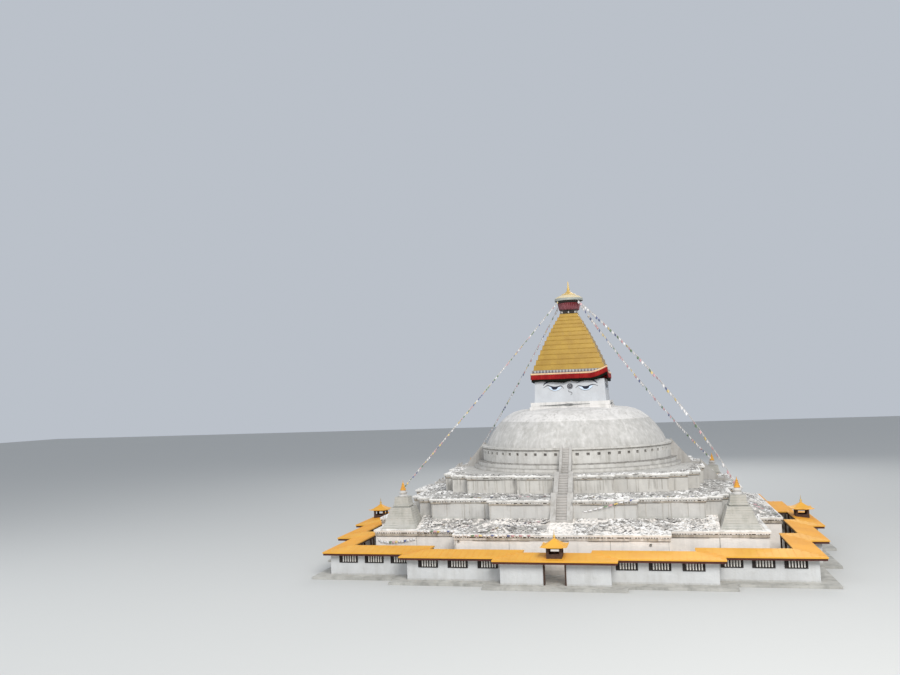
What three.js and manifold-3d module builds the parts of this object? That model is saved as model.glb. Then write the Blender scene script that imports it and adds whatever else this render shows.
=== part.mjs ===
// Lime-washed Himalayan stupa on three stepped terraces, inside a low roofed gallery.
// All sizes below are metres of the real building; the group at the end scales them to a 1:2 model
// in millimetres. The origin is the middle of the base at ground level, +Z is up, the front is -Y.
import * as THREE from 'three';
import { mergeVertices } from 'three/addons/utils/BufferGeometryUtils.js';
import Module from 'manifold-3d';

const wasm = await Module();
wasm.setup();

// Scale of the model, and the joint left between pieces that touch
const SCALE = 1 / 2;
const MODEL_MM = 1000 * SCALE;
const GAP = 0.3 / MODEL_MM;

// Terraces: each plan is a list of [half length, distance from the middle], from the
// projecting middle block out to the corner block
const LOWER = { plan: [[9.82, 20.65], [18.4, 18.4]], foot: 0, top: 3.84, deckTop: 4.8, inward: 3.3,
  band: 0.34 };
const MIDDLE = { plan: [[7.05, 17.3], [13.3, 15.8], [14.8, 14.8]], foot: 3.84, top: 6.52, deckTop: 6.8,
  inward: 2.8, band: 0.22 };
const UPPER = { plan: [[4.8, 13.85], [10.1, 13.15], [11.95, 11.95]], foot: 6.52, top: 8.52, deckTop: 8.6,
  inward: 0.9, band: 0.18 };
const COPING = { height: 0.22, overhang: 0.16, bandOverhang: 0.06, ledge: 0.35 };

// Round courses, dome and square box over the dome
const ROUND = 60;
const RING_STEPS = { radii: [11.8, 11.35], tops: [8.98, 9.42] };
const NICHE_DRUM = { radius: 10.76, top: 11.1, cornice: 0.14, corniceHeight: 0.2 };
const NICHE = { around: ROUND, width: 0.34, height: 0.28, depth: 0.16, sill: 10.28 };
const DOME = { top: 15.2, flat: 4.9 };
const HARMIKA_STEP = { half: 4.4, top: 15.85 };
const HARMIKA = { half: 4.0, topHalf: 3.88, top: 18.32 };
const VALANCE = { half: 4.3, top: 19.16 };
const FRIEZE = { half: 4.14, top: 19.48 };

// Thirteen golden tiers and what stands on them
const TIERS = { count: 13, footHalf: 3.99, topHalf: 1.12, top: 26.1, firstHeight: 0.62 };
const NECK = { half: 0.93, top: 26.56 };
const RED_DRUM = { footRadius: 1.08, topRadius: 1.33, top: 27.38 };
const PARASOL = { radius: 1.66, rimFoot: 27.66, rimTop: 27.94, top: 28.36 };
const FINIAL = { radius: 0.9, top: 30 };

// Stairs up the middle of each side
const STAIR = { cheekHeight: 0.25, slab: 0.1 };
const LOWER_FLIGHT = { from: 18.05, to: 16.3, steps: 10, width: 2.15, cheek: 0.56 };
const MIDDLE_FLIGHT = { from: 15.5, to: UPPER.plan[0][1], steps: 8, width: 1.86, cheek: 0.46 };
const UPPER_FLIGHT = { from: 12.7, to: NICHE_DRUM.radius, steps: 10, width: 1.24, cheek: 0.27 };

// Small stupas on the corners of the lower terrace; the flank is [half width, height] from its foot
const CORNER = { at: 16.14, foot: LOWER.top, flank: [[1.77, 0], [1.77, 0.14], [1.6, 0.45], [1.4, 0.95],
  [1.22, 1.45], [1.06, 2.02]], lipHalf: 0.86, neckHalf: 0.78, neckTopHalf: 0.68, neckTop: 3.03,
  spireTop: 4.64 };

// Lines of flags from the rim of the parasol to the spires of the four corner stupas: sag is a
// share of the length, and bow is how far the middle hangs out to the side
const FLAG_LINE = { radius: 0.02, segments: 12, rim: 1.13, foot: 3.91 };
const FLAG_LINES = [
  { name: 'front_left', side: [-1, -1], sag: 0.005, bow: 0 },
  { name: 'front_right', side: [1, -1], sag: 0, bow: 1.3 },
  { name: 'rear_right', side: [1, 1], sag: 0.03, bow: 0 },
  { name: 'rear_left', side: [-1, 1], sag: 0.02, bow: 0 },
];

// Gallery round the foot: wall plan from the gate bay out to the corner
const GALLERY_PLAN = [[4.8, 24.81], [13.68, 23.53], [21.83, 21.83]];
const PLINTH = { height: 0.2, overhang: 1.4 };
const WALL = { thickness: 0.28 };
const WINDOW = { width: 1.7, sill: 1.38, height: 0.64 };
const WING_WINDOWS = [14.85, 17.42, 20];
const MIDDLE_WINDOWS = [6.1, 8.87, 11.65];
const GATE = { width: 1.8, top: 2.0 };
const ROOF = { eave: 2.37, ridge: 2.66, overhang: 0.62, inward: 1.75, thickness: 0.12 };
const ARCADE = { inward: 1.6, post: 0.16, beamFoot: 2.34, spacing: 3.2 };
const LANTERN = { half: 0.68, middle: 24.1, top: 3.4, wall: 0.12, opening: 0.9, openingFoot: 2.84,
  openingTop: 3.26 };
const GATE_ROOF = { half: 1.15, top: 4.2, spike: 4.85 };

const SIDES = ['front', 'right', 'rear', 'left'];
const QUARTER = Math.PI / 2;

const PAINT = {
  limewash: finish(0xe9e6df, 0.9, 0),
  gold: finish(0xc9a552, 0.45, 0.7),
  red: finish(0x9c2a22, 0.7, 0),
  cream: finish(0xe8dcb4, 0.8, 0),
  darkWood: finish(0x3a2a22, 0.8, 0),
  roofYellow: finish(0xeaa83a, 0.55, 0.3),
  concrete: finish(0xb9b7b0, 0.9, 0),
  cloth: finish(0xdfdfe2, 0.9, 0),
  parasol: finish(0xb9b2a6, 0.6, 0.2),
};

function finish(color, roughness, metalness) {
  return { color, roughness, metalness };
}

// Closed solids

// Outline of a stepped square plan, grown outwards by `grow`
function steppedOutline(plan, grow = 0) {
  const last = plan.length - 1;
  const corner = plan[last][1] + grow;
  const right = [];
  for (let i = 0; i < last; i += 1) {
    right.push([plan[i][1] + grow, plan[i][0] + grow], [plan[i + 1][1] + grow, plan[i][0] + grow]);
  }
  const top = right.map(([x, y]) => [y, x]).reverse();
  const quarter = [...right, [corner, corner], ...top];
  return SIDES.flatMap((side, turn) => quarter.map(([x, y]) => turned(x, y, turn)));
}

function turned(x, y, turn) {
  const cos = [1, 0, -1, 0][turn];
  const sin = [0, 1, 0, -1][turn];
  return new THREE.Vector2(x * cos - y * sin, x * sin + y * cos);
}

function rectangle(halfX, halfY = halfX) {
  return [[halfX, -halfY], [halfX, halfY], [-halfX, halfY], [-halfX, -halfY]]
    .map(([x, y]) => new THREE.Vector2(x, y));
}

// Solid through a stack of outlines that have the same number of corners
function loft(levels) {
  const count = levels[0][0].length;
  const position = [];
  const index = [];
  levels.forEach(([outline, z]) => outline.forEach((p) => position.push(p.x, p.y, z)));
  for (let level = 0; level < levels.length - 1; level += 1) {
    for (let i = 0; i < count; i += 1) {
      const a = level * count + i;
      const b = level * count + (i + 1) % count;
      index.push(a, b, b + count, a, b + count, a + count);
    }
  }
  const above = (levels.length - 1) * count;
  THREE.ShapeUtils.triangulateShape(levels[0][0], []).forEach(([a, b, c]) => index.push(a, c, b));
  THREE.ShapeUtils.triangulateShape(levels[levels.length - 1][0], [])
    .forEach(([a, b, c]) => index.push(a + above, b + above, c + above));
  const geometry = new THREE.BufferGeometry();
  geometry.setAttribute('position', new THREE.Float32BufferAttribute(position, 3));
  geometry.setIndex(index);
  return geometry;
}

function prism(outline, foot, top) {
  return loft([[outline, foot], [outline, top]]);
}

function box(x0, x1, y0, y1, z0, z1) {
  const geometry = new THREE.BoxGeometry(x1 - x0, y1 - y0, z1 - z0);
  return geometry.translate((x0 + x1) / 2, (y0 + y1) / 2, (z0 + z1) / 2);
}

// Solid of revolution about +Z from [radius, height] pairs that start and end on the axis
function turnedSolid(profile, sides) {
  const points = profile.map(([radius, height]) => new THREE.Vector2(radius, height));
  return new THREE.LatheGeometry(points, sides).rotateX(QUARTER);
}

// Outline in the Y-Z plane, as [distance towards the front, height], drawn out along X
function sideways(points, x0, x1) {
  const shape = new THREE.Shape(points.map(([y, z]) => new THREE.Vector2(-y, z)));
  const geometry = new THREE.ExtrudeGeometry(shape, { depth: x1 - x0, bevelEnabled: false });
  return geometry.rotateX(QUARTER).rotateZ(QUARTER).translate(x0, 0, 0);
}

function manifold(geometry) {
  const bare = new THREE.BufferGeometry();
  bare.setAttribute('position', geometry.getAttribute('position'));
  if (geometry.index) bare.setIndex(geometry.index);
  const merged = mergeVertices(bare, 1e-5);
  return new wasm.Manifold(new wasm.Mesh({
    numProp: 3,
    vertProperties: Float32Array.from(merged.getAttribute('position').array),
    triVerts: Uint32Array.from(merged.index.array),
  }));
}

function carve(geometry, cutters) {
  return fromManifold(cutters.reduce((left, cutter) => left.subtract(manifold(cutter)), manifold(geometry)));
}

function join(geometries) {
  return fromManifold(geometries.map(manifold).reduce((whole, piece) => whole.add(piece)));
}

function common(geometry, limit) {
  return fromManifold(manifold(geometry).intersect(manifold(limit)));
}

function fromManifold(solid) {
  const mesh = solid.getMesh();
  const geometry = new THREE.BufferGeometry();
  geometry.setAttribute('position', new THREE.BufferAttribute(mesh.vertProperties, 3));
  geometry.setIndex(new THREE.BufferAttribute(mesh.triVerts, 1));
  return geometry;
}

// Masonry of the terraces

// Wall, weathered band, coping and the deck that rises from the coping to the next terrace
function terraceMass({ plan, foot, top, deckTop, inward, band: bandHeight }, grow = 0) {
  const copingFoot = top - COPING.height;
  const bandFoot = copingFoot - bandHeight;
  const wall = steppedOutline(plan, grow);
  const band = steppedOutline(plan, COPING.bandOverhang + grow);
  const coping = steppedOutline(plan, COPING.overhang + grow);
  return loft([
    [wall, foot], [wall, bandFoot], [band, bandFoot + 0.03], [band, copingFoot], [coping, copingFoot + 0.03],
    [coping, top + grow], [steppedOutline(plan, grow - COPING.ledge), top + grow],
    [steppedOutline(plan, grow - inward), deckTop + grow],
  ]);
}

function lowerTerrace() {
  const sockets = [
    prism(steppedOutline(MIDDLE.plan, GAP), LOWER.top, LOWER.deckTop + 1),
    ...cornerPlaces().map(([x, y]) => prism(rectangle(CORNER.flank[0][0] + GAP), LOWER.top, LOWER.deckTop + 1)
      .translate(x, y, 0)),
  ];
  return carve(terraceMass(LOWER), sockets);
}

function middleTerrace() {
  return carve(terraceMass({ ...MIDDLE, foot: MIDDLE.foot + GAP }), [
    prism(steppedOutline(UPPER.plan, GAP), MIDDLE.top, MIDDLE.deckTop + 1),
    ...SIDES.map((side, turn) => stairSlot(GAP).rotateZ(turn * QUARTER)),
  ]);
}

function upperTerrace() {
  const socket = turnedSolid([[0, UPPER.top], [RING_STEPS.radii[0] + GAP, UPPER.top],
    [RING_STEPS.radii[0] + GAP, UPPER.deckTop + 1], [0, UPPER.deckTop + 1]], ROUND);
  return carve(terraceMass({ ...UPPER, foot: UPPER.foot + GAP }), [socket]);
}

function ringSteps(grow = 0) {
  const [outer, inner] = RING_STEPS.radii;
  const [low, high] = RING_STEPS.tops;
  return turnedSolid([[0, UPPER.top + GAP], [outer + grow, UPPER.top + GAP], [outer + grow, low + grow],
    [inner + grow, low + grow], [inner + grow, high + grow], [0, high + grow]], ROUND);
}

function nicheDrum(grow = 0) {
  const { radius, top, cornice, corniceHeight } = NICHE_DRUM;
  const foot = RING_STEPS.tops[1] + GAP;
  return turnedSolid([[0, foot], [radius + grow, foot], [radius + grow, top - corniceHeight - 0.1],
    [radius + cornice + grow, top - corniceHeight], [radius + cornice + grow, top + grow],
    [0, top + grow]], NICHE.around).rotateZ(Math.PI / NICHE.around);
}

// One niche in the middle of each facet; the row leaves out the one behind each stair
function nicheDrumWithNiches() {
  const quarterCount = NICHE.around / 4;
  const cutters = [];
  for (let i = 0; i < NICHE.around; i += 1) {
    if (i % quarterCount === 0) continue;
    const cutter = box(NICHE_DRUM.radius - NICHE.depth, NICHE_DRUM.radius + 0.5,
      -NICHE.width / 2, NICHE.width / 2, NICHE.sill, NICHE.sill + NICHE.height);
    cutters.push(cutter.rotateZ(2 * Math.PI * i / NICHE.around));
  }
  return carve(nicheDrum(), cutters);
}

// Steep flanks, full shoulders and a nearly flat crown that carries a square step
function dome() {
  const foot = NICHE_DRUM.top + GAP;
  const flank = new THREE.SplineCurve([
    [10.28, foot], [10.16, foot + 0.42], [9.88, foot + 0.98], [9.22, foot + 1.96],
    [8.3, foot + 2.94], [7.35, foot + 3.58], [6.4, foot + 3.92], [DOME.flat, DOME.top],
  ].map(([radius, height]) => new THREE.Vector2(radius, height)));
  const profile = flank.getPoints(9).map((p) => [p.x, p.y]);
  const { half, top } = HARMIKA_STEP;
  const ledge = DOME.top + 0.16;
  const step = squareStack([[half + 0.12, DOME.top - 0.3], [half + 0.12, ledge], [half, ledge], [half, top]]);
  return join([turnedSolid([[0, foot], ...profile, [0, DOME.top]], ROUND), step]);
}

function squareStack(levels) {
  return loft(levels.map(([half, z]) => [rectangle(half), z]));
}

function harmika() {
  return squareStack([[HARMIKA.half, HARMIKA_STEP.top + GAP], [HARMIKA.topHalf, HARMIKA.top]]);
}

function valance() {
  const foot = HARMIKA.top + GAP;
  return squareStack([[VALANCE.half - 0.1, foot], [VALANCE.half, foot + 0.3], [VALANCE.half, VALANCE.top]]);
}

function frieze() {
  return squareStack([[FRIEZE.half, VALANCE.top + GAP], [FRIEZE.half, FRIEZE.top]]);
}

// Golden spire

function tierHeights() {
  const rise = TIERS.top - FRIEZE.top - GAP;
  const step = (TIERS.count * TIERS.firstHeight - rise) * 2 / (TIERS.count * (TIERS.count - 1));
  return Array.from({ length: TIERS.count }, (_, i) => TIERS.firstHeight - step * i);
}

// Thirteen square tiers, each with an upright lip and a sloping top under the next
function goldenSpire() {
  const levels = [];
  let foot = FRIEZE.top + GAP;
  tierHeights().forEach((height, i) => {
    const half = THREE.MathUtils.lerp(TIERS.footHalf, TIERS.topHalf, i / (TIERS.count - 1));
    levels.push([half - 0.03, foot], [half, foot + 0.06], [half, foot + 0.45 * height],
      [half - 0.07, foot + height - 0.05], [half - 0.12, foot + height]);
    foot += height;
  });
  return squareStack(levels);
}

function neck() {
  return squareStack([[NECK.half, TIERS.top + GAP], [NECK.half, NECK.top]]);
}

function redDrum() {
  return turnedSolid([[0, NECK.top + GAP], [RED_DRUM.footRadius, NECK.top + GAP],
    [RED_DRUM.topRadius, RED_DRUM.top - 0.1], [RED_DRUM.topRadius, RED_DRUM.top], [0, RED_DRUM.top]], 24);
}

function parasol(grow = 0) {
  const foot = RED_DRUM.top + GAP;
  const { rimFoot, rimTop, top } = PARASOL;
  const radius = PARASOL.radius + grow;
  return turnedSolid([[0, foot - grow], [RED_DRUM.topRadius - 0.1 + grow, foot - grow],
    [radius - 0.16, rimFoot - 0.04 - grow], [radius, rimFoot - grow], [radius, rimTop],
    [radius - 0.36, rimTop + 0.26], [FINIAL.radius, top + grow], [0, top + grow]], 24);
}

function finial() {
  const foot = PARASOL.top + GAP;
  const { radius, top } = FINIAL;
  const profile = [[radius, 0], [0.8, 0.12], [0.52, 0.24], [0.28, 0.4], [0.15, 0.62], [0.17, 0.7],
    [0.16, 0.78], [0.1, 0.92]].map(([r, height]) => [r, foot + height]);
  return turnedSolid([[0, foot], ...profile, [0.04, top], [0, top]], 16);
}

// Stairs

function treads({ from, to, steps }, z0, z1) {
  const run = (from - to) / steps;
  const rise = (z1 - z0) / steps;
  const points = [];
  for (let i = 0; i < steps; i += 1) {
    points.push([from - i * run, z0 + i * rise], [from - i * run, z0 + (i + 1) * rise]);
  }
  return points;
}

// Steps between two sloping cheek walls, as one masonry piece down to `foot`
function flight(size, z0, z1, foot) {
  const { from, to, width, cheek } = size;
  const steps = [[from, foot], ...treads(size, z0, z1), [to - 0.02, z1], [to - 0.02, foot]];
  const lift = STAIR.cheekHeight;
  const wall = [[from + 0.12, foot], [from + 0.12, z0 + lift], [to, z1 + lift], [to - 0.02, z1 + lift],
    [to - 0.02, foot]];
  const half = width / 2;
  return join([sideways(steps, -half + cheek / 2, half - cheek / 2),
    sideways(wall, -half, -half + cheek), sideways(wall, half - cheek, half)]);
}

function landing(from, to, foot, top, width) {
  return sideways([[from, foot], [from, top], [to, top], [to, foot]], -width / 2, width / 2);
}

// Space in the middle terrace's front for the back half of the lowest flight
function stairSlot(clear = 0) {
  const half = LOWER_FLIGHT.width / 2 + clear;
  return box(-half, half, -MIDDLE.plan[0][1] - 1, -LOWER_FLIGHT.to + clear,
    MIDDLE.foot + 0.5 - clear, MIDDLE.deckTop + 1);
}

function stair() {
  const middleDeck = MIDDLE.deckTop + STAIR.slab;
  const upperDeck = UPPER.deckTop + STAIR.slab;
  const whole = join([
    flight(LOWER_FLIGHT, LOWER.top + 0.7, middleDeck, LOWER.top + GAP),
    landing(LOWER_FLIGHT.to, MIDDLE_FLIGHT.from - 0.1, MIDDLE.foot + 1, middleDeck, LOWER_FLIGHT.width),
    flight(MIDDLE_FLIGHT, middleDeck, upperDeck, MIDDLE.foot + 1),
    landing(MIDDLE_FLIGHT.to, UPPER_FLIGHT.from - 0.1, UPPER.foot + 1, upperDeck, UPPER_FLIGHT.width),
    flight(UPPER_FLIGHT, upperDeck, NICHE_DRUM.top, UPPER.foot + 1),
  ]);
  return carve(whole, [
    terraceMass(LOWER, GAP),
    carve(terraceMass(MIDDLE, GAP), [stairSlot()]),
    terraceMass(UPPER, GAP),
    ringSteps(GAP),
    nicheDrum(GAP),
  ]);
}

// Small stupas on the corners

function cornerPlaces() {
  return [[-1, -1], [1, -1], [1, 1], [-1, 1]].map(([x, y]) => [x * CORNER.at, y * CORNER.at]);
}

// Sloping body, a shadow joint, a lip and a tapering square neck; the middle terrace's corner is cut
// out of its foot
function cornerStupa(grow = 0) {
  const { foot, flank, lipHalf, neckHalf, neckTopHalf, neckTop } = CORNER;
  const shoulder = flank[flank.length - 1][1];
  return squareStack([...flank, [neckHalf, shoulder], [neckHalf, shoulder + 0.08],
    [lipHalf, shoulder + 0.1], [lipHalf, shoulder + 0.24], [neckHalf, shoulder + 0.28],
    [neckTopHalf, neckTop]]
    .map(([half, height]) => [half + grow, foot + GAP + height]));
}

function cornerSpire(grow = 0) {
  const foot = CORNER.foot + CORNER.neckTop + 2 * GAP;
  const top = CORNER.foot + CORNER.spireTop;
  const profile = [[0.5, 0], [0.42, 0.25], [0.2, 0.8], [0.34, 0.9], [0.3, 1.02], [0.1, 1.12]]
    .map(([radius, height]) => [radius + grow, foot + height]);
  return turnedSolid([[0, foot], ...profile, [0.03 + grow, top], [0, top]], 12);
}

// Gallery

function galleryPlinth() {
  return carve(prism(steppedOutline(GALLERY_PLAN, PLINTH.overhang), 0, PLINTH.height), [
    prism(steppedOutline(LOWER.plan, GAP), -1, 1),
  ]);
}

// Strip along one side of the stepped plan grown by `grow`, from its left corner to the butt
// joint with the next side
function sideStrip(grow, thickness) {
  const [[gate, gateOut], [middle, middleOut], [, corner]] = GALLERY_PLAN
    .map((step) => step.map((size) => size + grow));
  const t = thickness;
  const right = corner - t - GAP;
  const outer = [[-corner, corner], [-middle, corner], [-middle, middleOut], [-gate, middleOut],
    [-gate, gateOut], [gate, gateOut], [gate, middleOut], [middle, middleOut], [middle, corner],
    [right, corner]];
  const inner = [[right, corner - t], [middle - t, corner - t], [middle - t, middleOut - t],
    [gate - t, middleOut - t], [gate - t, gateOut - t], [-gate + t, gateOut - t],
    [-gate + t, middleOut - t], [-middle + t, middleOut - t], [-middle + t, corner - t],
    [-corner, corner - t]];
  return [...outer, ...inner].map(([x, y]) => new THREE.Vector2(x, -y));
}

function galleryWall() {
  const windowBox = (x, out) => box(x - WINDOW.width / 2, x + WINDOW.width / 2, -out - 0.5, -out + 1,
    WINDOW.sill, WINDOW.sill + WINDOW.height);
  const [[, gateOut], [, middleOut], [, corner]] = GALLERY_PLAN;
  const cutters = [box(-GATE.width / 2, GATE.width / 2, -gateOut - 0.5, -gateOut + 1, 0, GATE.top)];
  [-1, 1].forEach((side) => {
    WING_WINDOWS.forEach((x) => cutters.push(windowBox(side * x, corner)));
    MIDDLE_WINDOWS.forEach((x) => cutters.push(windowBox(side * x, middleOut)));
  });
  const wall = prism(sideStrip(0, WALL.thickness), PLINTH.height + GAP, ROOF.ridge);
  return underRoof(carve(wall, cutters));
}

// Space below the sloping underside of the roof
function roofHollow() {
  const slope = (ROOF.ridge - ROOF.eave) / (ROOF.overhang + ROOF.inward);
  const beyond = steppedOutline(GALLERY_PLAN, ROOF.overhang + 0.5);
  const ridge = steppedOutline(GALLERY_PLAN, -ROOF.inward);
  const edge = ROOF.eave - ROOF.thickness - 0.5 * slope;
  return loft([[beyond, 0], [beyond, edge], [ridge, ROOF.ridge - ROOF.thickness]]);
}

// Cuts the top of a wall or beam to the slope of the roof it carries
function underRoof(geometry) {
  return common(geometry, roofHollow().translate(0, 0, -GAP));
}

// Low-pitched sheet roof that follows the stepped plan, mitred at the corners
function galleryRoof() {
  const eave = steppedOutline(GALLERY_PLAN, ROOF.overhang);
  const ridge = steppedOutline(GALLERY_PLAN, -ROOF.inward);
  const hill = loft([[eave, ROOF.eave - ROOF.thickness - 0.02], [eave, ROOF.eave], [ridge, ROOF.ridge]]);
  const reach = 30;
  const wedge = prism([[0, 0], [-reach, -reach], [reach, -reach]]
    .map(([x, y]) => new THREE.Vector2(x, y - 1.5 * GAP)), 0, 5);
  return common(carve(hill, [roofHollow(), prism(ridge, 0, 5)]), wedge);
}

// Beam and posts that carry the roof's inner edge along one side
function arcade() {
  const { inward, post, beamFoot } = ARCADE;
  const half = post / 2;
  const beam = prism(sideStrip(half - inward, post), beamFoot, ROOF.ridge);
  const posts = arcadePosts().map(([x, y]) => box(x - half, x + half, y - half, y + half,
    PLINTH.height + GAP, beamFoot + 0.05));
  return underRoof(join([beam, ...posts]));
}

// Posts at every corner of the inner line of one side and at even steps between them, with none on
// the axis; the post at the right-hand corner belongs to the next side
function arcadePosts() {
  const [[gate, gateOut], [middle, middleOut], [, corner]] = GALLERY_PLAN
    .map((step) => step.map((size) => size - ARCADE.inward));
  const left = [[-corner, corner], [-middle, corner], [-middle, middleOut], [-gate, middleOut],
    [-gate, gateOut]];
  const line = [...left, ...left.map(([x, y]) => [-x, y]).reverse()]
    .map(([x, y]) => new THREE.Vector2(x, -y));
  const posts = [];
  line.slice(0, -1).forEach((a, i) => {
    const b = line[i + 1];
    const bays = 2 * Math.floor(a.distanceTo(b) / ARCADE.spacing / 2) + 1;
    for (let k = 0; k < bays; k += 1) {
      posts.push([THREE.MathUtils.lerp(a.x, b.x, k / bays), THREE.MathUtils.lerp(a.y, b.y, k / bays)]);
    }
  });
  return posts;
}

// Timber frame that lifts the upper roof of the gate, open on its four sides
function lantern() {
  const { half, middle, top, wall, opening, openingFoot, openingTop } = LANTERN;
  const eave = steppedOutline(GALLERY_PLAN, ROOF.overhang);
  const ridge = steppedOutline(GALLERY_PLAN, -ROOF.inward);
  const inner = half - wall;
  return carve(box(-half, half, -middle - half, -middle + half, ROOF.eave, top - GAP), [
    loft([[eave, 0], [eave, ROOF.eave + GAP], [ridge, ROOF.ridge + GAP]]),
    box(-inner, inner, -middle - inner, -middle + inner, 0, top + 1),
    box(-opening / 2, opening / 2, -middle - 2, -middle + 2, openingFoot, openingTop),
    box(-2, 2, -middle - opening / 2, -middle + opening / 2, openingFoot, openingTop),
  ]);
}

// Hipped roof with lifted eaves and a short spike
function gateRoof() {
  const { half, top, spike } = GATE_ROOF;
  const foot = LANTERN.top;
  const roof = squareStack([[half, foot], [half, foot + 0.07], [half * 0.66, foot + 0.26],
    [half * 0.36, top - 0.24], [0.1, top]]);
  const tip = squareStack([[0.07, top - 0.1], [0.02, spike]]);
  return join([roof, tip]).translate(0, -LANTERN.middle, 0);
}

// Flag lines

// A hanging line, cut back at both ends to the faces that hold it
function flagLine(from, to, sag, bow, holders) {
  const middle = new THREE.Vector3().lerpVectors(from, to, 0.5);
  middle.x += 2 * bow;
  middle.z -= from.distanceTo(to) * sag * 2;
  const curve = new THREE.QuadraticBezierCurve3(from, middle, to);
  const section = new THREE.Shape().absarc(0, 0, FLAG_LINE.radius, 0, 2 * Math.PI);
  const line = new THREE.ExtrudeGeometry(section, {
    extrudePath: curve, steps: FLAG_LINE.segments, curveSegments: 4, bevelEnabled: false,
  });
  return carve(line, holders);
}

// One line to the spire of each corner stupa
function addFlagLines(group) {
  FLAG_LINES.forEach(({ name, side: [x, y], sag, bow }) => {
    const onDiagonal = (reach, z) => new THREE.Vector3(x * reach, y * reach, z);
    add(group, `flag_line_${name}`, flagLine(onDiagonal(FLAG_LINE.rim, PARASOL.rimFoot),
      onDiagonal(CORNER.at, CORNER.foot + FLAG_LINE.foot), sag, bow,
      [parasol(GAP), cornerSpire(GAP).translate(x * CORNER.at, y * CORNER.at, 0)]), PAINT.cloth);
  });
}

// Assembly

function add(group, name, geometry, paint, turn = 0) {
  const mesh = new THREE.Mesh(geometry, new THREE.MeshStandardMaterial(paint));
  mesh.name = name;
  mesh.rotation.z = turn * QUARTER;
  group.add(mesh);
}

const stupa = new THREE.Group();
stupa.scale.setScalar(MODEL_MM);

add(stupa, 'gallery_plinth', galleryPlinth(), PAINT.concrete);
SIDES.forEach((side, turn) => {
  add(stupa, `gallery_wall_${side}`, galleryWall(), PAINT.limewash, turn);
  add(stupa, `gallery_arcade_${side}`, arcade(), PAINT.darkWood, turn);
  add(stupa, `gallery_roof_${side}`, galleryRoof(), PAINT.roofYellow, turn);
  add(stupa, `gate_lantern_${side}`, lantern(), PAINT.darkWood, turn);
  add(stupa, `gate_roof_${side}`, gateRoof(), PAINT.roofYellow, turn);
  add(stupa, `stair_${side}`, stair(), PAINT.limewash, turn);
});

add(stupa, 'lower_terrace', lowerTerrace(), PAINT.limewash);
add(stupa, 'middle_terrace', middleTerrace(), PAINT.limewash);
add(stupa, 'upper_terrace', upperTerrace(), PAINT.limewash);
cornerPlaces().forEach(([x, y], i) => {
  const name = ['front_left', 'front_right', 'rear_right', 'rear_left'][i];
  add(stupa, `corner_stupa_${name}`, carve(cornerStupa().translate(x, y, 0), [terraceMass(MIDDLE, GAP)]),
    PAINT.limewash);
  add(stupa, `corner_spire_${name}`, cornerSpire().translate(x, y, 0), PAINT.gold);
});

add(stupa, 'ring_steps', ringSteps(), PAINT.limewash);
add(stupa, 'niche_drum', nicheDrumWithNiches(), PAINT.limewash);
add(stupa, 'dome', dome(), PAINT.limewash);
add(stupa, 'harmika', harmika(), PAINT.limewash);
add(stupa, 'valance', valance(), PAINT.red);
add(stupa, 'block_frieze', frieze(), PAINT.cream);
add(stupa, 'golden_spire', goldenSpire(), PAINT.gold);
add(stupa, 'spire_neck', neck(), PAINT.darkWood);
add(stupa, 'red_drum', redDrum(), PAINT.red);
add(stupa, 'parasol', parasol(), PAINT.parasol);
add(stupa, 'finial', finial(), PAINT.gold);
addFlagLines(stupa);

export default stupa;
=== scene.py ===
"""Looks of a half-size stupa: terraces, dome, golden spire and the roofed gallery round its foot."""
import math
import random

import bmesh
import bpy
from mathutils import Matrix, Vector, noise as vector_noise


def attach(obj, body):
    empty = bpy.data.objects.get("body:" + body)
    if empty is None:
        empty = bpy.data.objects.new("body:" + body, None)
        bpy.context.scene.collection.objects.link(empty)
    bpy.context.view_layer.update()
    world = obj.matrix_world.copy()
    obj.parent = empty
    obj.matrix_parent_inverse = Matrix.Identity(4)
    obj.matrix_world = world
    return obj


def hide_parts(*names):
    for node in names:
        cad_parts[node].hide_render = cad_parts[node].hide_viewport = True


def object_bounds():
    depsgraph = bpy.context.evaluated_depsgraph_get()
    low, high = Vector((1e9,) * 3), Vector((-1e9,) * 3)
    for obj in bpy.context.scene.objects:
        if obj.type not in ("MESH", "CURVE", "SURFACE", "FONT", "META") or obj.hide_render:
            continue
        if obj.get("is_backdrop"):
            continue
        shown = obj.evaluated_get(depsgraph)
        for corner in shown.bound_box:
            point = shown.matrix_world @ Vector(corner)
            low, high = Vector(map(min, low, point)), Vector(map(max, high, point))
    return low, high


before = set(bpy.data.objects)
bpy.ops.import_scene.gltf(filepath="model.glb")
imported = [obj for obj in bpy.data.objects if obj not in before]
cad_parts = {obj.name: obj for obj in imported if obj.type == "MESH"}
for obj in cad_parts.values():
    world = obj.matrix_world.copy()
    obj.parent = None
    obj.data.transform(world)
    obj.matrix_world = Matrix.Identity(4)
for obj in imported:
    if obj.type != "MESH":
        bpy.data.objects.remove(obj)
cad_low, cad_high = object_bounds()
bpy.ops.object.select_all(action="DESELECT")


# View, light and floor
# The stupa is seen from in front, a little to the right of its stair and at the height of the
# dome's shoulder, in soft light from above and from the right.
EYE = (4.4595, -48.249, 8.1405)
YAW, PITCH, ROLL = (math.radians(a) for a in (-13.70, 4.52, -2.01))


def linked(name, data):
    """A new object in the scene."""
    thing = bpy.data.objects.new(name, data)
    bpy.context.collection.objects.link(thing)
    return thing


camera = linked("camera", bpy.data.cameras.new("camera"))
camera.data.sensor_width = 36
camera.data.lens = 32.61
camera.data.clip_end = 500
camera.location = EYE
camera.rotation_euler = (Matrix.Rotation(-YAW, 3, "Z") @ Matrix.Rotation(math.pi / 2 + PITCH, 3, "X")
                         @ Matrix.Rotation(ROLL, 3, "Z")).to_euler()
bpy.context.scene.camera = camera
bpy.context.scene.view_settings.view_transform = "Standard"

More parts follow.
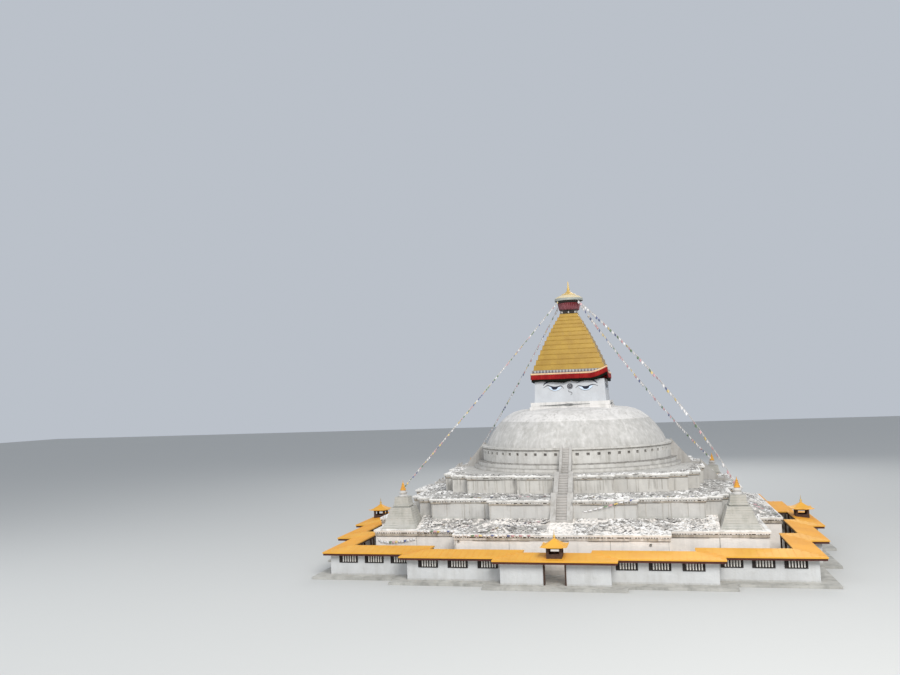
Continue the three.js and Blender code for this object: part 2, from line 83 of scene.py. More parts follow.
sky = bpy.data.worlds.new("pale_sky")
sky.use_nodes = True
glow = sky.node_tree.nodes["Background"].inputs
glow["Color"].default_value = (0.80, 0.86, 0.95, 1)
glow["Strength"].default_value = 0.62
bpy.context.scene.world = sky


def soft_light(name, place, aim, size, power, colour):
    lamp = linked(name, bpy.data.lights.new(name, "AREA"))
    lamp.data.shape = "DISK"
    lamp.data.size = size
    lamp.data.energy = power
    lamp.data.color = colour
    lamp.location = place
    lamp.rotation_euler = (Vector(aim) - Vector(place)).to_track_quat("-Z", "Y").to_euler()


soft_light("key", (18, -47, 38), (0, 0, 5), 28, 25500, (1.0, 0.985, 0.96))
soft_light("fill", (-36, -28, 24), (0, 0, 5), 30, 4200, (0.95, 0.97, 1.0))
soft_light("back", (6, 44, 34), (0, 0, 6), 30, 7000, (1.0, 1.0, 1.0))


def node_material(name, roughness, metallic=0.0):
    material = bpy.data.materials.new(name)
    material.use_nodes = True
    shader = material.node_tree.nodes["Principled BSDF"]
    shader.inputs["Roughness"].default_value = roughness
    shader.inputs["Metallic"].default_value = metallic
    return material, material.node_tree, shader


floor_paint, tree, shader = node_material("floor_paint", 0.9)
shader.inputs["Base Color"].default_value = (0.56, 0.56, 0.54, 1)
bpy.ops.mesh.primitive_plane_add(size=400)
floor = bpy.context.object
floor.name = "floor"
floor.data.materials.append(floor_paint)
floor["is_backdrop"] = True
floor.location.z = -0.004


# Gallery plinth
# A cement slab that carries the gallery and slopes out past its wall as a narrow apron, grey and
# stained by rain, with a worn upper edge.
def feed(tree, socket, value):
    """Sets a socket to a number, a vector or a colour, or links another node's output to it."""
    if isinstance(value, (int, float)):
        socket.default_value = value
    elif isinstance(value, tuple):
        socket.default_value = (*value, 1)[:len(socket.default_value)]
    else:
        tree.links.new(value, socket)


def node_of(tree, kind, **inputs):
    """A new shader node of a kind, with its inputs fed."""
    node = tree.nodes.new(f"ShaderNode{kind}")
    for name, value in inputs.items():
        feed(tree, node.inputs[name], value)
    return node


def noise(tree, scale, detail=6.0, stretch=(1, 1, 1), rough=0.55):
    place = node_of(tree, "TexCoord").outputs["Object"]
    place = node_of(tree, "Mapping", Vector=place, Scale=stretch).outputs["Vector"]
    return node_of(tree, "TexNoise", Vector=place, Scale=scale, Detail=detail, Roughness=rough).outputs["Fac"]


def ramp(tree, value, stops):
    node = node_of(tree, "ValToRGB", Fac=value)
    while len(node.color_ramp.elements) < len(stops):
        node.color_ramp.elements.new(0.5)
    for element, (place, colour) in zip(node.color_ramp.elements, stops):
        element.position = place
        element.color = (*colour, 1) if isinstance(colour, tuple) else (colour, colour, colour, 1)
    return node.outputs["Color"]


def blend(tree, share, under, over, way="MIX"):
    node = node_of(tree, "Mix")
    node.data_type = "RGBA"
    node.blend_type = way
    for name, value in (("Factor", share), ("A", under), ("B", over)):
        feed(tree, node.inputs[name], value)
    return node.outputs["Result"]


def maths(tree, operation, *values):
    node = node_of(tree, "Math")
    node.operation = operation
    node.use_clamp = operation == "MULTIPLY"
    for socket, value in zip(node.inputs, values):
        feed(tree, socket, value)
    return node.outputs["Value"]


def patches(tree, low, high, *texture, **more):
    """0 where a noise is under low, 1 where it is over high."""
    return ramp(tree, noise(tree, *texture, **more), [(low, 0.0), (high, 1.0)])


def tinted(tree, colour, tint, mask, strength):
    return blend(tree, maths(tree, "MULTIPLY", mask, strength), colour, tint)


def surface(tree, shader, colour, height, strength, distance):
    """Gives a shader its colour, and bumps of the given height."""
    tree.links.new(colour, shader.inputs["Base Color"])
    bump = node_of(tree, "Bump", Strength=strength, Distance=distance, Height=height)
    tree.links.new(bump.outputs["Normal"], shader.inputs["Normal"])


def cement():
    material, tree, shader = node_material("cement", 0.92)
    colour = ramp(tree, noise(tree, 0.9), [(0.3, (0.36, 0.35, 0.32)), (0.7, (0.52, 0.51, 0.47))])
    colour = tinted(tree, colour, (0.20, 0.20, 0.18), patches(tree, 0.5, 0.68, 2.6, 9, (1, 1, 0.4)), 0.55)
    colour = tinted(tree, colour, (0.62, 0.61, 0.57), patches(tree, 0.6, 0.75, 28, 3), 0.35)
    surface(tree, shader, colour, noise(tree, 14, 8), 0.5, 0.02)
    return material


def dress(node, material):
    """Gives a node of the model its finish."""
    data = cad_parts[node].data
    data.materials.clear()
    data.materials.append(material)


dress("gallery_plinth", cement())


# Gallery walls
# Rubble walls under many coats of limewash, grey with splash at their foot, with a window in every
# bay and a gate in the middle of each side.
def upright(tree, vector):
    """The part of a vector that points up."""
    return node_of(tree, "SeparateXYZ", Vector=vector).outputs["Z"]


def mapped(tree, value, none, full):
    """0 to 1 as a value goes from none to full."""
    return node_of(tree, "MapRange", Value=value, **{"From Min": none, "From Max": full}).outputs["Result"]


def height_over_ground(tree):
    return upright(tree, node_of(tree, "TexCoord").outputs["Object"])


def height_mask(tree, low, high, fade):
    """1 between the heights low and high, fading out below low over the distance fade."""
    height = height_over_ground(tree)
    below, above = mapped(tree, height, low - fade, low), mapped(tree, height, high + 0.012, high)
    return maths(tree, "MULTIPLY", below, above)


def upward(tree, none=0.55, full=0.9):
    """Share of a finish on faces by how far they look up: 1 looks straight up, -1 straight down."""
    return mapped(tree, upright(tree, node_of(tree, "NewGeometry").outputs["Normal"]), none, full)


def limewash(name, white, grey=(0.42, 0.41, 0.38), streak=0.4, bands=(), litter=0.0, drips=0.0, courses=0.0):
    """Bands are (low, high, fade, colour, strength); litter is how much lies on the decks, drips
    how dark the narrow runs of rain are, and courses how far the stone courses show through."""
    material, tree, shader = node_material(name, 0.93)
    darker = tuple(0.86 * part for part in white)
    colour = ramp(tree, noise(tree, 0.7, 8), [(0.32, darker), (0.62, white)])
    colour = tinted(tree, colour, grey, patches(tree, 0.47, 0.72, 3.2, 9, (1, 1, 0.14), 0.62), streak)
    colour = tinted(tree, colour, grey, patches(tree, 0.52, 0.74, 1.7, 10, rough=0.68), streak)
    if drips:
        run = maths(tree, "MULTIPLY", patches(tree, 0.52, 0.62, 8.0, 4, (1, 1, 0.05), 0.5),
                    patches(tree, 0.40, 0.60, 1.3, 3))
        colour = tinted(tree, colour, (0.22, 0.20, 0.17), run, drips)
    if courses:
        bed = ramp(tree, maths(tree, "FRACT", maths(tree, "DIVIDE", height_over_ground(tree), 0.11)),
                   [(0.0, 1.0), (0.14, 1.0), (0.2, 0.0), (0.94, 0.0), (1.0, 1.0)])
        bed = maths(tree, "MULTIPLY", bed, patches(tree, 0.42, 0.60, 3.0, 6))
        colour = tinted(tree, colour, grey, bed, courses)
    for low, high, fade, tint, strength in bands:
        drip = ramp(tree, noise(tree, 5.0, 8, (1, 1, 0.25), 0.6), [(0.30, 0.25), (0.62, 1.0)])
        mask = maths(tree, "MULTIPLY", height_mask(tree, low, high, fade), drip)
        colour = tinted(tree, colour, tint, mask, strength)
    if litter:
        for tint, loose in (((0.30, 0.29, 0.27), patches(tree, 0.47, 0.60, 6.0, 10, rough=0.75)),
                            ((0.08, 0.08, 0.08), patches(tree, 0.62, 0.70, 24.0, 4, rough=0.7))):
            colour = tinted(tree, colour, tint, maths(tree, "MULTIPLY", upward(tree), loose), litter)
    rough = maths(tree, "ADD", noise(tree, 9, 10, rough=0.65), noise(tree, 1.6, 4))
    surface(tree, shader, colour, rough, 0.55, 0.03)
    return material


SIDES = ("front", "right", "rear", "left")
wall_wash = limewash("wall_limewash", (0.66, 0.665, 0.66), streak=0.34,
                     bands=[(0.10, 0.16, 0.25, (0.40, 0.39, 0.35), 0.5)])
for side in SIDES:
    dress(f"gallery_wall_{side}", wall_wash)


# Windows
# Low timber windows right under the eaves: a dark frame let into the wall, with a broad left post,
# and a row of white-painted bars in front of close dark laths, which are painted shade for the dark
# inside of the gallery.
WINDOW_WIDTH, WINDOW_HEIGHT, SILL = 0.85, 0.32, 0.69
WING_FACE, MIDDLE_FACE = -10.915, -11.765


def start(kind, name, **place):
    """A new primitive of bpy.ops, alone in the selection."""
    bpy.ops.object.select_all(action="DESELECT")
    getattr(bpy.ops.mesh, f"primitive_{kind}_add")(**place)
    piece = bpy.context.object
    piece.name = piece.data.name = name
    return piece


def settle():
    """Puts the origin of what is selected at the frame's own, unturned and unscaled."""
    bpy.ops.object.transform_apply(location=True, rotation=True, scale=True)


def edit_all():
    bpy.ops.object.mode_set(mode="EDIT")
    bpy.ops.mesh.select_all(action="SELECT")


def edit_done():
    bpy.ops.object.mode_set(mode="OBJECT")


def block(name, low, high, bevel=0.0):
    """A squared piece between two corners, with its edges eased."""
    low, high = Vector(low), Vector(high)
    piece = start("cube", name, size=1, location=(low + high) / 2)
    piece.scale = high - low
    settle()
    if bevel:
        edit_all()
        bpy.ops.mesh.bevel(offset=bevel, segments=1, affect="EDGES")
        edit_done()
    return piece


def copy_of(piece, move):
    """A copy with its own mesh, moved by a matrix."""
    other = piece.copy()
    other.data = piece.data.copy()
    other.data.transform(move)
    bpy.context.collection.objects.link(other)
    return other


def many(name, piece, moves):
    """One mesh with a copy of the piece at each of the moves; the piece itself is used up."""
    whole = bmesh.new()
    for move in moves:
        one = piece.data.copy()
        one.transform(move)
        whole.from_mesh(one)
        bpy.data.meshes.remove(one)
    data = bpy.data.meshes.new(name)
    whole.to_mesh(data)
    whole.free()
    gathered = linked(name, data)
    bpy.data.objects.remove(piece)
    return gathered


def joined(name, pieces):
    bpy.ops.object.select_all(action="DESELECT")
    for piece in pieces:
        piece.select_set(True)
    bpy.context.view_layer.objects.active = pieces[0]
    if len(pieces) > 1:
        bpy.ops.object.join()
    pieces[0].name = pieces[0].data.name = name
    bpy.ops.object.select_all(action="DESELECT")
    return pieces[0]


def finish_piece(piece, slot, *materials):
    """Places the origin, gives the finish and hangs the piece on the building."""
    bpy.ops.object.select_all(action="DESELECT")
    piece.select_set(True)
    bpy.context.view_layer.objects.active = piece
    settle()
    for material in materials:
        piece.data.materials.append(material)
    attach(piece, "root")
    bpy.ops.object.select_all(action="DESELECT")


def ring(count):
    """Even turns round the upright axis, the first of them none."""
    return [Matrix.Rotation(2 * math.pi * i / count, 4, "Z") for i in range(count)]


def on_four_sides(name, front, slot, *materials):
    """The front piece and its copies on the other three sides."""
    turned = [copy_of(front, turn) for turn in ring(4)[1:]]
    for side, piece in zip(SIDES, [front, *turned]):
        piece.name = piece.data.name = f"{name}_{side}"
        finish_piece(piece, slot, *materials)


def spread(name, piece, moves, slot, *materials):
    """Copies of a piece at each of the moves on the front, and again on the other three sides."""
    on_four_sides(name, many(name, piece, moves), slot, *materials)


def timber(name, dark, light, roughness=0.75):
    material, tree, shader = node_material(name, roughness)
    grain = ramp(tree, noise(tree, 7, 8, (1, 1, 5)), [(0.35, dark), (0.7, light)])
    surface(tree, shader, grain, noise(tree, 30, 6, (1, 1, 4)), 0.3, 0.004)
    return material


brown_timber = timber("brown_timber", (0.035, 0.018, 0.012), (0.10, 0.05, 0.03))
black_timber = timber("black_timber", (0.010, 0.008, 0.007), (0.030, 0.020, 0.015))
white_bars = timber("white_bar_paint", (0.74, 0.70, 0.63), (0.90, 0.88, 0.84), 0.6)


def window_frame():
    """Broad left post, right post, head and sill, a little proud of the wall."""
    half, top, front, back = WINDOW_WIDTH / 2, SILL + WINDOW_HEIGHT, -0.03, 0.06
    return joined("window_frame", [
        block("post_left", (-half - 0.05, front, SILL - 0.03), (-half + 0.07, back, top + 0.04), 0.006),
        block("post_right", (half - 0.03, front, SILL - 0.03), (half + 0.03, back, top + 0.04), 0.006),
        block("head", (-half + 0.07, front - 0.012, top - 0.035), (half - 0.03, back, top + 0.045), 0.006),
        block("sill", (-half + 0.07, front, SILL - 0.03), (half - 0.03, back, SILL + 0.012), 0.005),
    ])


def window_bars():
    """Six white bars from the sill up to the head."""
    foot, top = SILL + 0.012, SILL + WINDOW_HEIGHT - 0.035
    first, last, count = -WINDOW_WIDTH / 2 + 0.15, WINDOW_WIDTH / 2 - 0.10, 6
    wide, deep = 0.027, 0.024
    return joined("window_bars", [block("bar", (x - wide, -deep, foot), (x + wide, deep, top), 0.006)
                                  for x in (first + i * (last - first) / (count - 1) for i in range(count))])


def window_shade_laths():
    """Close dark laths nailed behind the bars, with gaps that let the air in; they are painted shade for the
    dark inside of the gallery.
    """
    lath = block("lath", (-0.017, 0.05, SILL), (0.017, 0.062, SILL + WINDOW_HEIGHT), 0.003)
    count = 20
    step = (WINDOW_WIDTH - 0.04) / count
    places = [Matrix.Translation(((i - (count - 1) / 2) * step, 0, 0)) for i in range(count)]
    return many("laths", lath, places)


WINDOWS = [(side * x, WING_FACE) for side in (-1, 1) for x in (7.425, 8.71, 10.0)]
WINDOWS += [(side * x, MIDDLE_FACE) for side in (-1, 1) for x in (3.05, 4.435, 5.825)]
places = [Matrix.Translation((x, y, 0)) for x, y in WINDOWS]
spread("window_frames", window_frame(), places, "dark_wood", black_timber)
spread("window_bars", window_bars(), places, "cream", white_bars)
# The dark laths are painted shade for the dark inside of the gallery.
spread("window_shade_laths", window_shade_laths(), places, "dark_wood", black_timber)


# Gates
# A plain timber frame lines the gate in the middle of each side: two posts let into the wall, and a
# lintel on them, all of dark stained timber.
GATE_FACE, GATE_HALF, THRESHOLD, GATE_TOP = -12.405, 0.45, 0.102, 0.995
gate = joined("gate_frame", [
    block("board", (left, GATE_FACE - front, low), (right, GATE_FACE + back, high), 0.008)
    for left, right, front, back, low, high in (
        (-GATE_HALF - 0.05, -GATE_HALF + 0.02, 0.03, 0.16, THRESHOLD, GATE_TOP),
        (GATE_HALF - 0.02, GATE_HALF + 0.05, 0.03, 0.16, THRESHOLD, GATE_TOP),
        (-GATE_HALF - 0.12, GATE_HALF + 0.12, 0.045, -0.004, GATE_TOP, 1.08))])
on_four_sides("gate_frame", gate, "dark_wood", brown_timber)


# Gallery roofs
# Low roofs of painted sheet with standing seams, on rafters whose dark ends show under the eave
# behind a red-brown fascia board, painted near black as the shade under the eave.
EAVE_TOP, RIDGE_TOP = 1.185, 1.33
EAVE_OUT, RIDGE_IN = 0.31, 0.875
PLAN = ((2.4, 12.405), (6.84, 11.765), (10.915, 10.915))


def painted_sheet(name, light, deep, rust):
    material, tree, shader = node_material(name, 0.5, 0.15)
    colour = ramp(tree, noise(tree, 0.8, 6), [(0.3, deep), (0.65, light)])
    colour = tinted(tree, colour, rust, patches(tree, 0.60, 0.78, 4.2, 10, rough=0.7), 0.35)
    surface(tree, shader, colour, noise(tree, 6, 5), 0.2, 0.01)
    return material


roof_paint = painted_sheet("roof_paint", (0.86, 0.45, 0.055), (0.77, 0.37, 0.04), (0.42, 0.18, 0.04))
for side in SIDES:
    dress(f"gallery_roof_{side}", roof_paint)


def roof_height(inset):
    """Top of the roof at a distance inwards from its eave."""
    return EAVE_TOP + (RIDGE_TOP - EAVE_TOP) * inset / (EAVE_OUT + RIDGE_IN)


def seams_on_side():
    """(outer point, inner point) of each seam on one side, cut back to the hips and valleys."""
    width, pitch, least = EAVE_OUT + RIDGE_IN, 0.3, 0.08
    gate_bay, middle, corner = (tuple(size + EAVE_OUT for size in step) for step in PLAN)
    runs = []

    def along_edge(low, high, along, line):
        begin, end = max(0.0, low - along), min(width, high - along)
        if end - begin >= least:
            runs.extend((line(side, begin), line(side, end)) for side in (-1, 1))

    for low, high, out in ((0, *gate_bay), (gate_bay[0], *middle), (middle[0], *corner)):
        for i in range(int((high - low) / pitch) + 4):
            along = low - 0.9 + pitch * (i + 0.5) if low else pitch * (i + 0.5)
            if along >= 0:
                along_edge(low, high, along, lambda side, inset: (side * along, inset - out))
    for low, high, out in ((middle[1], gate_bay[1], gate_bay[0]), (corner[1], middle[1], middle[0])):
        for i in range(8):
            along = low - 0.9 + pitch * i
            along_edge(low, high, along, lambda side, inset: (side * (out - inset), -along))
    return runs


def inset_at(plan, x, y, grow=0.0):
    """How far inside a stepped plan, grown by grow, a point lies."""
    return max(min(a + grow - abs(x), b + grow - abs(y))
               for half, out in plan for a, b in ((half, out), (out, half)))


def standing_seams():
    seam = block("seam", (-0.5, -0.007, 0), (0.5, 0.007, 0.012), 0.003)
    made = []
    for ends in seams_on_side():
        a, b = (Vector((x, y, roof_height(inset_at(PLAN, x, y, EAVE_OUT)))) for x, y in ends)
        along = b - a
        move = Matrix.Translation((a + b) / 2) @ along.to_track_quat("X", "Z").to_matrix().to_4x4()
        made.append(copy_of(seam, move @ Matrix.Diagonal((along.length - 0.02, 1, 1, 1))))
    bpy.data.objects.remove(seam)
    return joined("roof_seams", made)


on_four_sides("roof_seams", standing_seams(), "roof_yellow", roof_paint)


def front_runs(plan, grow, depth):
    """(start, end, turn) of the front edges of a stepped plan grown by grow, from left to right.
    Each run stops short by depth where it would cross the next one at an outer corner."""
    steps = [(half + grow, out + grow) for half, out in plan]
    corner = steps[-1][0]
    line = [(-corner, -corner)]
    for (half, out), (_, outer) in reversed(list(zip(steps, steps[1:]))):
        line += [(-half, -outer), (-half, -out)]
    line += [(-x, y) for x, y in reversed(line)]
    runs = []
    for (x0, y0), (x1, y1) in zip(line, line[1:]):
        if y0 == y1:
            runs.append((Vector((x0, y0)), Vector((x1 - (depth if x1 == corner else 0), y1)), 0.0))
        elif x0 < 0:
            runs.append((Vector((x0, y0)), Vector((x1, y1 + depth)), -math.pi / 2))
        else:
            runs.append((Vector((x0, y0 + depth)), Vector((x1, y1)), math.pi / 2))
    return runs


def row_along(runs, pitch, shift=0.0, seed=1):
    """(place, step) of pieces at even steps along the runs, each facing outwards."""
    rng = random.Random(seed)
    for start, end, turn in runs:
        length = (end - start).length
        count = max(1, round(length / pitch))
        for i in range(count):
            spot = start.lerp(end, (i + 0.5) / count)
            yield (Matrix.Translation((*spot, rng.uniform(-shift, shift))) @ Matrix.Rotation(turn, 4, "Z"),
                   length / count)


# Painted shade: the fascia's own red-brown is darkened to near black for the shade under the eave.
fascia_paint_and_eave_shade = timber("fascia_paint_and_eave_shade", (0.05, 0.010, 0.006), (0.11, 0.026, 0.015))
WHOLE_RUN = 99.0
board = block("board", (-0.5, 0, 1.03), (0.5, 0.025, 1.118))
places = [place @ Matrix.Diagonal((length, 1, 1, 1)) for place, length
          in row_along(front_runs(PLAN, EAVE_OUT - 0.03, 0.025), WHOLE_RUN)]
spread("eave_fascia", board, places, "dark_wood", fascia_paint_and_eave_shade)

rafter = block("rafter", (-0.03, 0.05, 1.06), (0.03, 0.272, 1.112), 0.006)
places = [place for place, _ in row_along(front_runs(PLAN, EAVE_OUT, 0.3), 0.36)]
spread("eave_rafters", rafter, places, "dark_wood", brown_timber)


# Arcade
# Squared posts and a beam of dark timber carry the roof on the side that faces the terraces. They
# are part of the model, so they only get their finish here.
for side in SIDES:
    dress(f"gallery_arcade_{side}", brown_timber)


# Gate lanterns and their roofs
# A small timber lantern stands on the roof over each gate, under a hipped roof of yellow sheet
# with lifted corners and a short gilt spike.
for side in SIDES:
    dress(f"gate_lantern_{side}", brown_timber)

LANTERN_PLACE = -12.05
ROOF_HALF, ROOF_FOOT, ROOF_TOP = 0.575, 1.7, 2.1


def solidify(piece, thickness):
    """Gives the active piece, a sheet, a thickness inwards."""
    solid = piece.modifiers.new("thickness", "SOLIDIFY")
    solid.thickness = thickness
    bpy.ops.object.modifier_apply(modifier="thickness")


def hipped_roof():
    """Sheet roof drawn up from a square, with hollow slopes and corners that turn up."""
    roof = start("plane", "gate_roof_sheet", size=2 * ROOF_HALF,
                 location=(0, LANTERN_PLACE, ROOF_FOOT + 0.03))
    settle()
    edit_all()
    bpy.ops.mesh.subdivide(number_cuts=11)
    edit_done()
    for vertex in roof.data.vertices:
        x, y = abs(vertex.co.x) / ROOF_HALF, abs(vertex.co.y - LANTERN_PLACE) / ROOF_HALF
        edge, other = max(x, y), min(x, y)
        vertex.co.z += (ROOF_TOP - ROOF_FOOT - 0.05) * (1 - edge) ** 1.45 + 0.05 * edge ** 2 * other ** 4
    solidify(roof, 0.028)
    return roof


def spike(name, x, y, foot, profile, sides=16):
    """A turned spike: rings of a circle drawn up through (radius, height) pairs."""
    piece = start("circle", name, vertices=sides, radius=profile[0][0], fill_type="NGON",
                  location=(x, y, foot + profile[0][1]), rotation=(0, 0, math.pi / sides))
    edit_all()
    for (r0, z0), (r1, z1) in zip(profile, profile[1:]):
        bpy.ops.mesh.extrude_region_move(TRANSFORM_OT_translate={"value": (0, 0, z1 - z0)})
        bpy.ops.transform.resize(value=(r1 / r0, r1 / r0, 1), center_override=(x, y, foot + z1))
    bpy.ops.mesh.select_all(action="SELECT")
    bpy.ops.mesh.normals_make_consistent(inside=False)
    edit_done()
    settle()
    return piece


def gilt(name, light=(0.72, 0.50, 0.16), deep=(0.50, 0.31, 0.08), metallic=0.45):
    material, tree, shader = node_material(name, 0.42, metallic)
    colour = ramp(tree, noise(tree, 1.6, 7), [(0.3, deep), (0.62, light)])
    colour = tinted(tree, colour, (0.30, 0.18, 0.06), patches(tree, 0.55, 0.75, 9, 8, (1, 1, 0.2)), 0.3)
    surface(tree, shader, colour, noise(tree, 12, 6), 0.25, 0.01)
    return material


gilt_metal = gilt("gilt_metal")
sheet_roof = hipped_roof()
tip = spike("gate_spike", 0, LANTERN_PLACE, ROOF_TOP - 0.09,
            [(0.05, 0), (0.062, 0.03), (0.045, 0.07), (0.07, 0.11), (0.05, 0.15), (0.02, 0.2), (0.012, 0.3),
             (0.004, 0.415)])
for piece, slot, paint in ((sheet_roof, "roof_yellow", roof_paint), (tip, "gold", gilt_metal)):
    on_four_sides(piece.name, piece, slot, paint)
for side in SIDES:
    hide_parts(f"gate_roof_{side}")


# Terraces
# Three stepped masses of brick and stone under limewash, each with a coping of rough slabs on a
# row of small blocks. Rain has browned the band under them, and loose lime lies on the decks.
LOWER = ((4.91, 10.325), (9.2, 9.2))
MIDDLE = ((3.525, 8.65), (6.65, 7.9), (7.4, 7.4))
UPPER = ((2.4, 6.925), (5.05, 6.575), (5.975, 5.975))
LOWER_TOP, MIDDLE_TOP, UPPER_TOP = 1.92, 3.26, 4.26
# A deck is its plan, the height of its edge, the height that it slopes up to and how far in that is.
LOWER_DECK, MIDDLE_DECK = (LOWER, LOWER_TOP, 2.4, 1.65), (MIDDLE, MIDDLE_TOP, 3.4, 1.4)
UPPER_DECK = (UPPER, UPPER_TOP, 4.3, 0.45)
BROWN, DARK_LINE = (0.30, 0.25, 0.19), (0.10, 0.085, 0.07)
lower_wash = limewash("lower_limewash", (0.91, 0.85, 0.785), streak=0.24, litter=0.85, bands=[
    (1.65, 1.80, 0.03, BROWN, 0.7), (0.0, 0.3, 0.2, (0.45, 0.44, 0.40), 0.4)])
middle_wash = limewash("middle_limewash", (0.575, 0.56, 0.53), streak=0.3, litter=0.85, drips=0.25,
                       bands=[(3.05, 3.14, 0.04, BROWN, 0.7), (2.3, 2.4, 0.2, (0.40, 0.40, 0.36), 0.45)])
# Painted shade: the thin dark line under the band of the upper terrace.
upper_wash = limewash("upper_limewash", (0.61, 0.585, 0.54), streak=0.5, litter=0.6, drips=0.5, bands=[
    (4.035, 4.06, 0.02, DARK_LINE, 0.6), (4.06, 4.14, 0.04, (0.36, 0.34, 0.30), 0.5)])
dress("lower_terrace", lower_wash)
dress("middle_terrace", middle_wash)
dress("upper_terrace", upper_wash)

slab_wash = limewash("slab_limewash", (0.90, 0.88, 0.84), (0.30, 0.27, 0.23), 0.6)
shadow_grime = limewash("shadow_grime", (0.10, 0.085, 0.07), (0.03, 0.027, 0.024), 0.6)
brown_grime = limewash("brown_grime", (0.52, 0.46, 0.38), (0.16, 0.13, 0.10), 0.9)


def coping(name, plan, top, band, slab, stair, step, block_size, seed):
    """Rough slabs, a course of small blocks against a dark strip under them, a stained band and a dark
    strip at its foot; both dark strips are painted shade. Stair is half the width that the stair leaves open."""
    half, high = block_size
    skipped = {"band": 0.45, "foot": 0.3}
    for kind, low, head, front, back, grow, pitch, gap, bevel, finish in (
            ("slabs", -0.045, 0.022, 0, 0.2, 0.092, slab, 0.012, 0.012, slab_wash),
            # The dark boards here are painted shade, under the slabs and under the band.
            ("shade_joint", -0.113 - high, -0.112, -0.005, 0.004, 0.03, 0.3, 0.0, 0.0, shadow_grime),
            ("band", -0.11 - band, -0.15, -0.006, 0.004, 0.03, 0.53, 0.02, 0.004, brown_grime),
            ("foot", -0.122 - band, -0.11 - band, -0.012, 0.004, 0.03, 0.9, 0.0, 0.003, shadow_grime)):
        board = block(kind, (-0.5, front, top + low), (0.5, back, top + head), bevel)
        depth, shift = (0.2, 0.008) if kind == "slabs" else (0.006, 0.0)
        rng, moves = random.Random(seed), []
        for place, length in row_along(front_runs(plan, grow, depth), pitch, shift, seed):
            if abs(place.translation.x) < stair and abs(place.translation.y) > stair:
                continue
            if rng.random() >= skipped.get(kind, 0):
                moves.append(place @ Matrix.Diagonal((length - gap, 1, 1, 1)))
        spread(f"{name}_coping_{kind}", board, moves, "limewash", finish)
    rng = random.Random(seed)
    under = block("block", (-half, -0.03, top - 0.11 - high), (half, 0.004, top - 0.112), 0.005)
    places = [place @ Matrix.Translation((rng.uniform(-0.02, 0.02), 0, 0))
              @ Matrix.Diagonal((rng.uniform(0.6, 1.5), 1, 1, 1))
              for place, _ in row_along(front_runs(plan, 0.03, 0.04), step) if rng.random() < 0.86]
    clear = [place for place in places
             if abs(place.translation.x) > stair or abs(place.translation.y) < stair]
    spread(f"{name}_coping_blocks", under, clear, "limewash", slab_wash)


coping("lower", LOWER, LOWER_TOP, 0.17, 0.44, 0.0, 0.115, (0.034, 0.042), 11)
coping("middle", MIDDLE, MIDDLE_TOP, 0.11, 0.38, 0.58, 0.13, (0.045, 0.034), 12)
coping("upper", UPPER, UPPER_TOP, 0.09, 0.46, 0.52, 0.30, (0.11, 0.026), 13)


def wall_ribs(name, foot, top, places):
    """Narrow plaster ribs that part the panels of a wall, at (x, distance out) on both sides; their dark wash
    is stain, and painted shade where they stand beside a stair cheek or a corner.
    """
    rng = random.Random(len(places))
    rib = block("rib", (-0.014, -0.012, foot - top), (0.014, 0.004, 0), 0.004)
    moves = [Matrix.Translation((side * x, -out, top))
             @ Matrix.Diagonal((rng.uniform(0.5, 1.4), 1, rng.uniform(0.72, 1.0), 1))
             for x, out in places for side in (-1, 1)]
    spread(name, rib, moves, "limewash", rib_wash)


LOWER_RIBS = [(2.31, 10.325), (4.86, 10.325), (7.1, 9.2)]
MIDDLE_RIBS = [(x, 8.65) for x in (0.56, 2.48, 3.49)]
MIDDLE_RIBS += [(x, 7.9) for x in (3.91, 4.69, 4.95, 5.07, 5.85, 6.61)]
UPPER_RIBS = [(x, 6.925) for x in (0.5, 0.66, 1.07, 1.26, 1.76, 1.93, 2.36)]
UPPER_RIBS += [(x, 6.575) for x in (3.07, 3.49, 3.6, 4.08, 4.14, 4.5, 4.73, 5.01)]
# The rib wash is darker than the walls: stains, and painted shade by the stair cheeks and corners.
rib_wash = limewash("rib_limewash", (0.50, 0.47, 0.42), (0.20, 0.18, 0.15), 0.8)
wall_ribs("lower_ribs", 0.05, 1.63, LOWER_RIBS)
wall_ribs("middle_ribs", 2.2, 3.03, MIDDLE_RIBS)
wall_ribs("upper_ribs", 3.42, 4.04, UPPER_RIBS)


def drain_spout():
    """A short stone spout with a square mouth, its inside painted dark as shade."""
    spout = block("spout", (-0.055, -0.07, -0.05), (0.055, 0.03, 0.05), 0.008)
    bpy.ops.object.mode_set(mode="EDIT")
    shape = bmesh.from_edit_mesh(spout.data)
    for face in shape.faces:
        face.select = face.normal.y < -0.95
    bmesh.update_edit_mesh(spout.data)
    bpy.ops.mesh.inset(thickness=0.012)
    bpy.ops.mesh.extrude_region_move(TRANSFORM_OT_translate={"value": (0, 0.06, 0)})
    for face in shape.faces:
        face.material_index = int(face.select)
    bmesh.update_edit_mesh(spout.data)
    bpy.ops.object.mode_set(mode="OBJECT")
    return spout


DRAINS = [(-4.72, -10.325, 1.62), (4.08, -10.325, 1.50)]
places = [Matrix.Translation(spot) for spot in DRAINS]
spread("drain_spouts", drain_spout(), places, "limewash", rib_wash, shadow_grime)


def deck_height(deck, x, y):
    """Height of a deck over a point, and how far in from its edge the point is."""
    plan, top, deck_top, inward = deck
    inset, slab = inset_at(plan, x, y), 0.175
    share = (inset - slab) / (inward - slab)
    return top + max(0.0, min(1.0, share)) * (deck_top - top), inset


